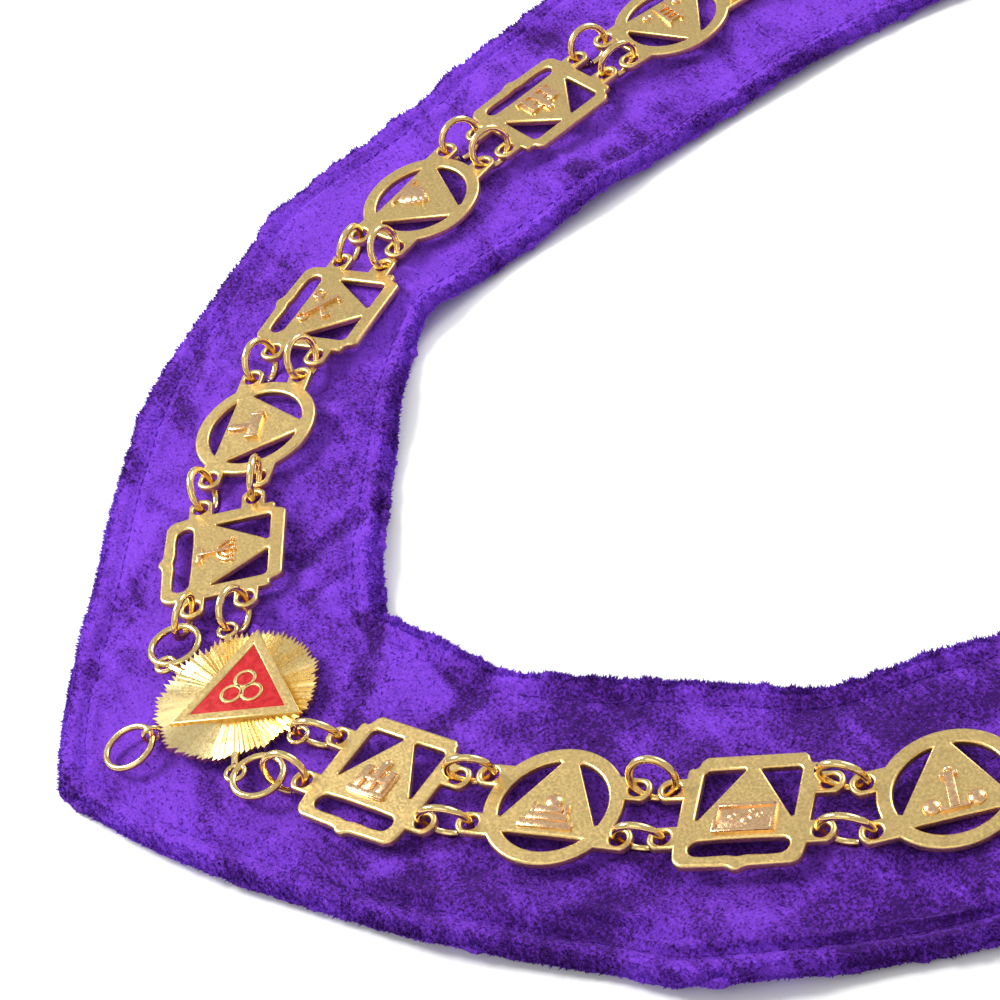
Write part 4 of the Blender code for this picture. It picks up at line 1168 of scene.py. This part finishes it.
cloth.point_cache.frame_end = SIM_FRAMES
for step in range(1, SIM_FRAMES + 1):
    bpy.context.scene.frame_set(step)
bpy.ops.object.modifier_apply(modifier="cloth")
moved = read_points(soft, grid.shape) - grid
bpy.context.scene.frame_set(1)
bpy.data.objects.remove(soft, do_unlink=True)
distance = np.linalg.norm(moved, axis=2, keepdims=True)
moved *= np.minimum(1.0, PUFF_CAP / np.maximum(distance, 1e-9))
puffed = grid + moved
print("simulated, mean move", round(float(distance.mean()) * 1000, 3), "mm")


# %% A finer grid
def finer(points, axis):
    """Twice the points along one axis, by a four-point curve."""
    before, here = np.roll(points, 1, axis=axis), points
    after, last = np.roll(points, -1, axis=axis), np.roll(points, -2, axis=axis)
    between = (-before + 9.0 * here + 9.0 * after - last) / 16.0
    paired = np.stack([here, between], axis=axis + 1)
    shape = list(points.shape)
    shape[axis] *= 2
    return paired.reshape(shape)


def finer_shares(values):
    """The same for the shares across, without a curve."""
    paired = np.stack([values, (values + np.roll(values, -1)) / 2.0], axis=1)
    return paired.reshape(-1)


fine = finer(finer(puffed, 0), 1)
fine_shares = finer_shares(shares)
rows, columns = fine.shape[:2]
fine_top = np.arange(columns) < 2 * len(top_shares) - 1
fine_loop = np.arange(rows) / rows
fine_width = np.repeat(band_widths, 2)
fine_inside = np.minimum(fine_shares, 1.0 - fine_shares)[None, :] * fine_width[:, None]
print("fine grid:", fine.shape)

# %% Press in the details
PUCKER_PITCH = 0.0062
CRUSH_DEPTH = 0.00045
RIM_BUMP = 0.0015
WAVE_DEPTH = 0.0024
outer_steps = np.linalg.norm(np.diff(np.repeat(outer_line, 2, axis=0), axis=0), axis=1)
outer_run = np.concatenate([[0.0], np.cumsum(outer_steps)])
along_dir = np.roll(fine, -1, axis=0) - np.roll(fine, 1, axis=0)
across_dir = np.roll(fine, -1, axis=1) - np.roll(fine, 1, axis=1)
out_dir = np.cross(across_dir, along_dir)
out_dir /= np.maximum(np.linalg.norm(out_dir, axis=2, keepdims=True), 1e-12)
if out_dir[:, len(top_shares), 2].mean() < 0.0:
    out_dir = -out_dir
push = np.zeros((rows, columns))
for row in range(rows):
    for column in np.nonzero(fine_top)[0]:
        point = Vector(fine[row, column])
        inside = fine_inside[row, column]
        crush = noise.noise(point * 260.0) * 0.6 + noise.noise(point * 620.0) * 0.4
        wave = noise.noise(Vector((point.x * 34.0, point.y * 34.0, 3.0)))
        wave += 0.5 * noise.noise(Vector((point.x * 90.0, point.y * 60.0, 9.0)))
        free = min(1.0, max(0.0, (inside - STITCH_INSET) / 0.008))
        push[row, column] = crush * CRUSH_DEPTH * (0.4 + 0.6 * free) + wave * WAVE_DEPTH * free
near_seam = np.exp(-((fine_inside - STITCH_INSET) / 0.0016) ** 2) * fine_top[None, :]
pucker = np.sin(2.0 * np.pi * outer_run / PUCKER_PITCH)[:, None]
jitter = np.array([noise.noise(Vector((s * 90.0, 0.0, 5.0))) for s in fine_loop])[:, None]
push += near_seam * (-0.00045 + 0.00030 * pucker * (0.6 + jitter))
beside = np.exp(-((fine_inside - STITCH_INSET * 0.5) / 0.0022) ** 2) * fine_top[None, :]
push += beside * (0.00035 * jitter + 0.00022 * np.roll(pucker, 1, axis=0))
for x, y, half_long, half_wide, turn, depth in SHADED_CREASES:
    cos, sin = math.cos(math.radians(turn)), math.sin(math.radians(turn))
    dx, dy = fine[:, :, 0] - x, fine[:, :, 1] - y
    away = ((dx * cos + dy * sin) / half_long) ** 2 + ((dy * cos - dx * sin) / (half_wide * 0.9)) ** 2
    push -= depth * 1.3 * np.exp(-away) * fine_top[None, :]
rim_part = np.exp(-(fine_inside / 0.0035) ** 2)
rim_part *= np.broadcast_to((fine_shares[None, :] < 0.15) | (fine_shares[None, :] > 0.85), rim_part.shape)
bumps = np.array([[noise.noise(Vector((s * 330.0, side * 9.0, 7.0))) * 0.6
                   + noise.noise(Vector((s * 110.0, side * 9.0, 2.0)))
                   for side in (0, 1)] for s in fine_loop])
push += rim_part * np.where(fine_shares[None, :] < 0.5, bumps[:, :1], bumps[:, 1:]) * RIM_BUMP
fine = fine + out_dir * push[:, :, None]
print("deepest push:", round(float(push.min()) * 1000, 2), "mm")

# %% Hollows under the rings and a level rest for the plaques
RING_GAP = 0.00025
LEAST_CLOTH = 0.0012
PLATE_GAP = 0.0003
PLATE_REST = 0.0006
top_part = fine_top[None, :]
for low, heading, radius in RING_BOTTOMS:
    dx = fine[:, :, 0] - low.x
    dy = fine[:, :, 1] - low.y
    run = dx * heading.x + dy * heading.y
    aside = -dx * heading.y + dy * heading.x
    inside_ring = np.clip(1.0 - (run / radius) ** 2, 0.0, 1.0)
    ring_low = low.z + radius * (1.0 - np.sqrt(inside_ring)) - RING_GAP
    reach = np.exp(-(aside / 0.0032) ** 2) * np.clip((1.25 - np.abs(run) / radius) / 0.5, 0.0, 1.0)
    limit = ring_low + (1.0 - reach) * 0.006
    pressed = np.minimum(fine[:, :, 2], np.maximum(limit, LEAST_CLOTH))
    fine[:, :, 2] = np.where(top_part, pressed, fine[:, :, 2])
plate_bottom = CHAIN_HEIGHT - PLATE_THICK / 2.0 - PLATE_GAP
near_chain = np.abs(fine_shares[None, :] - np.repeat(chain_shares, 2)[:, None]) * fine_width[:, None] < 0.021
rested = np.minimum(fine[:, :, 2], plate_bottom - PLATE_REST)
fine[:, :, 2] = np.where(top_part & near_chain, rested, fine[:, :, 2])
fine[:, :, 2] = np.where(top_part, fine[:, :, 2], np.maximum(fine[:, :, 2], 0.0))
fine[:, :, 2] = np.maximum(fine[:, :, 2], 0.00005)
velvet = tube_mesh("velvet_band", fine)
bpy.ops.object.select_all(action="DESELECT")
bpy.context.view_layer.objects.active = velvet
velvet.select_set(True)
bpy.ops.object.mode_set(mode="EDIT")
bpy.ops.mesh.select_all(action="SELECT")
bpy.ops.mesh.normals_make_consistent(inside=False)
bpy.ops.object.mode_set(mode="OBJECT")
painted(velvet, VELVET, 180.0)
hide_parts("velvet_collar")
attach(velvet, "root")
print("velvet faces:", len(velvet.data.polygons))

# %% [markdown]
# ## Standing pile
# Seen edge on, velvet is fuzzy, because its threads stand up from the cloth. Thin pointed tufts,
# each a closed sliver with four faces, are scattered over the top and more densely round both
# edges. A hair system would give the same look, but would not be kept in the exported model.

# %% Tufts of pile
TUFTS = 44000
TUFT_LENGTH = 0.0015
TUFT_WIDTH = 0.00038
EDGE_SHARE = 0.6
TUFT_SINK = 0.00025
TUFT_LEAN = 0.45
TUFT_RIM = 0.035
scatter = np.random.default_rng(5)
fine_out = np.cross(np.roll(fine, -1, axis=1) - np.roll(fine, 1, axis=1),
                    np.roll(fine, -1, axis=0) - np.roll(fine, 1, axis=0))
fine_out /= np.maximum(np.linalg.norm(fine_out, axis=2, keepdims=True), 1e-12)
if fine_out[:, len(top_shares), 2].mean() < 0.0:
    fine_out = -fine_out
top_columns = np.nonzero(fine_top)[0]
rim_columns = np.array([c for c in top_columns if min(fine_shares[c], 1.0 - fine_shares[c]) < TUFT_RIM])
on_rim = scatter.random(TUFTS) < EDGE_SHARE
pick_row = scatter.integers(0, rows, TUFTS)
pick_column = np.where(on_rim, scatter.choice(rim_columns, TUFTS), scatter.choice(top_columns[2:-2], TUFTS))
part_row, part_column = scatter.random((TUFTS, 1)), scatter.random((TUFTS, 1))
next_row, next_column = (pick_row + 1) % rows, np.minimum(pick_column + 1, top_columns[-1])
here = (fine[pick_row, pick_column] * (1 - part_row) * (1 - part_column)
        + fine[next_row, pick_column] * part_row * (1 - part_column)
        + fine[pick_row, next_column] * (1 - part_row) * part_column
        + fine[next_row, next_column] * part_row * part_column)
stand = fine_out[pick_row, pick_column] + scatter.normal(0.0, TUFT_LEAN, (TUFTS, 3))
stand[:, 2] = np.maximum(stand[:, 2], 0.05)
stand /= np.linalg.norm(stand, axis=1, keepdims=True)
side = np.cross(stand, scatter.normal(0.0, 1.0, (TUFTS, 3)))
side /= np.linalg.norm(side, axis=1, keepdims=True)
other = np.cross(stand, side)
long = TUFT_LENGTH * scatter.uniform(0.55, 1.15, (TUFTS, 1)) * np.where(on_rim, 1.0, 0.62)[:, None]
foot = here - stand * TUFT_SINK
tuft_points = np.stack([
    foot + side * TUFT_WIDTH, foot + (-side * 0.5 + other * 0.87) * TUFT_WIDTH,
    foot + (-side * 0.5 - other * 0.87) * TUFT_WIDTH, foot + stand * long], axis=1)
tuft_points[:, :, 2] = np.maximum(tuft_points[:, :, 2], 0.0001)
numbers = (np.arange(TUFTS) * 4)[:, None, None]
tuft_faces = (numbers + np.array([[0, 1, 2], [0, 3, 1], [1, 3, 2], [2, 3, 0]])[None]).reshape(-1, 3)
pile_mesh = bpy.data.meshes.new("velvet_pile")
pile_mesh.from_pydata(tuft_points.reshape(-1, 3).tolist(), [], tuft_faces.tolist())
pile_piece = bpy.data.objects.new("velvet_pile", pile_mesh)
bpy.context.scene.collection.objects.link(pile_piece)
bpy.ops.object.select_all(action="DESELECT")
bpy.context.view_layer.objects.active = pile_piece
pile_piece.select_set(True)
bpy.ops.object.mode_set(mode="EDIT")
bpy.ops.mesh.select_all(action="SELECT")
bpy.ops.mesh.normals_make_consistent(inside=False)
bpy.ops.object.mode_set(mode="OBJECT")
painted(pile_piece, VELVET, 30.0)
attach(pile_piece, "root")
print("tufts:", TUFTS)

# %% [markdown]
# ## Topstitching
# A line of purple thread runs in the groove near each edge. One stitch is a short bead of thread,
# and it is laid along the groove hundreds of times, with its own small turn, and joined as one
# mesh.

# %% Stitches in the grooves
STITCH_LENGTH = 0.0026
STITCH_STEP = 0.0036
STITCH_RADIUS = 0.00028
bpy.ops.mesh.primitive_uv_sphere_add(segments=6, ring_count=5, radius=1.0)
stitch = bpy.context.object
stitch.name = "stitch"
stitch.data.transform(Matrix.Diagonal((STITCH_LENGTH / 2.0, STITCH_RADIUS, STITCH_RADIUS, 1.0)))
stitch_points = np.array([v.co[:] for v in stitch.data.vertices])
stitch_faces = [tuple(p.vertices) for p in stitch.data.polygons]
bpy.data.objects.remove(stitch, do_unlink=True)
random.seed(11)
seam_verts = []
seam_faces = []
for edge in (0, 1):
    distance = fine_inside.copy()
    wrong_half = (fine_shares[None, :] > 0.5) if edge == 0 else (fine_shares[None, :] < 0.5)
    distance[np.broadcast_to(wrong_half | ~fine_top[None, :], distance.shape)] = 1.0
    nearest = np.argmin(np.abs(distance - STITCH_INSET), axis=1)
    line = fine[np.arange(rows), nearest]
    seam_run = np.concatenate([[0.0], np.cumsum(np.linalg.norm(np.diff(line, axis=0), axis=1))])
    count = int(seam_run[-1] / STITCH_STEP)
    for i in range(count):
        here = np.array([np.interp((i + 0.5) * STITCH_STEP, seam_run, line[:, k]) for k in range(3)])
        ahead = np.array([np.interp((i + 0.6) * STITCH_STEP, seam_run, line[:, k]) for k in range(3)])
        heading = math.atan2(ahead[1] - here[1], ahead[0] - here[0]) + random.uniform(-0.12, 0.12)
        turn = np.array([[math.cos(heading), -math.sin(heading), 0.0],
                         [math.sin(heading), math.cos(heading), 0.0], [0.0, 0.0, 1.0]])
        base = len(seam_verts)
        seam_verts += (stitch_points @ turn.T + here + np.array([0.0, 0.0, 0.00012])).tolist()
        seam_faces += [tuple(v + base for v in face) for face in stitch_faces]
seam_mesh = bpy.data.meshes.new("topstitching")
seam_mesh.from_pydata(seam_verts, [], seam_faces)
topstitching = bpy.data.objects.new("topstitching", seam_mesh)
bpy.context.scene.collection.objects.link(topstitching)
painted(topstitching, THREAD, 60.0)
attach(topstitching, "root")
print("stitching faces:", len(seam_mesh.polygons))

# %% [markdown]
# ## Tacking threads
# A chain like this is held to its collar by a few loops of thread over its rings. Each loop
# starts in the velvet on one side of a ring, goes over the wire and comes down on the other side.

# %% Threads over the rings
TACK_RINGS = tuple(range(0, len(RING_BOTTOMS), 2))
TACK_RADIUS = 0.00026
tacks = []
for number in TACK_RINGS:
    low, heading, radius = RING_BOTTOMS[number]
    aside = Vector((-heading.y, heading.x, 0.0))
    along = Vector((heading.x, heading.y, 0.0))
    wire = low + along * radius * 0.42
    wire.z = low.z + RING_WIRE + radius * (1.0 - math.sqrt(1.0 - 0.42 ** 2)) + 0.0003
    for turn in (-1.0, 0.2):
        lean = along * 0.0008 * turn
        foot = max(low.z + 0.0002, 0.0015)
        left = Vector((wire.x, wire.y, foot)) + aside * 0.0021 + lean
        right = Vector((wire.x, wire.y, foot)) - aside * 0.0021 + lean
        route = [left, left.lerp(wire + lean, 0.55) + Vector((0.0, 0.0, 0.0006)), wire + lean,
                 right.lerp(wire + lean, 0.55) + Vector((0.0, 0.0, 0.0006)), right]
        tacks.append(bent_wire("tack", [tuple(p) for p in route], TACK_RADIUS, sides=1))
tacking = painted(joined("tacking_threads", tacks), THREAD, 60.0)
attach(tacking, "root")
print("tacking faces:", len(tacking.data.polygons))

# %% Finish
for name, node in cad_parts.items():
    if not node.data.materials:
        node.data.materials.append(SATIN_GOLD)
bpy.context.view_layer.update()
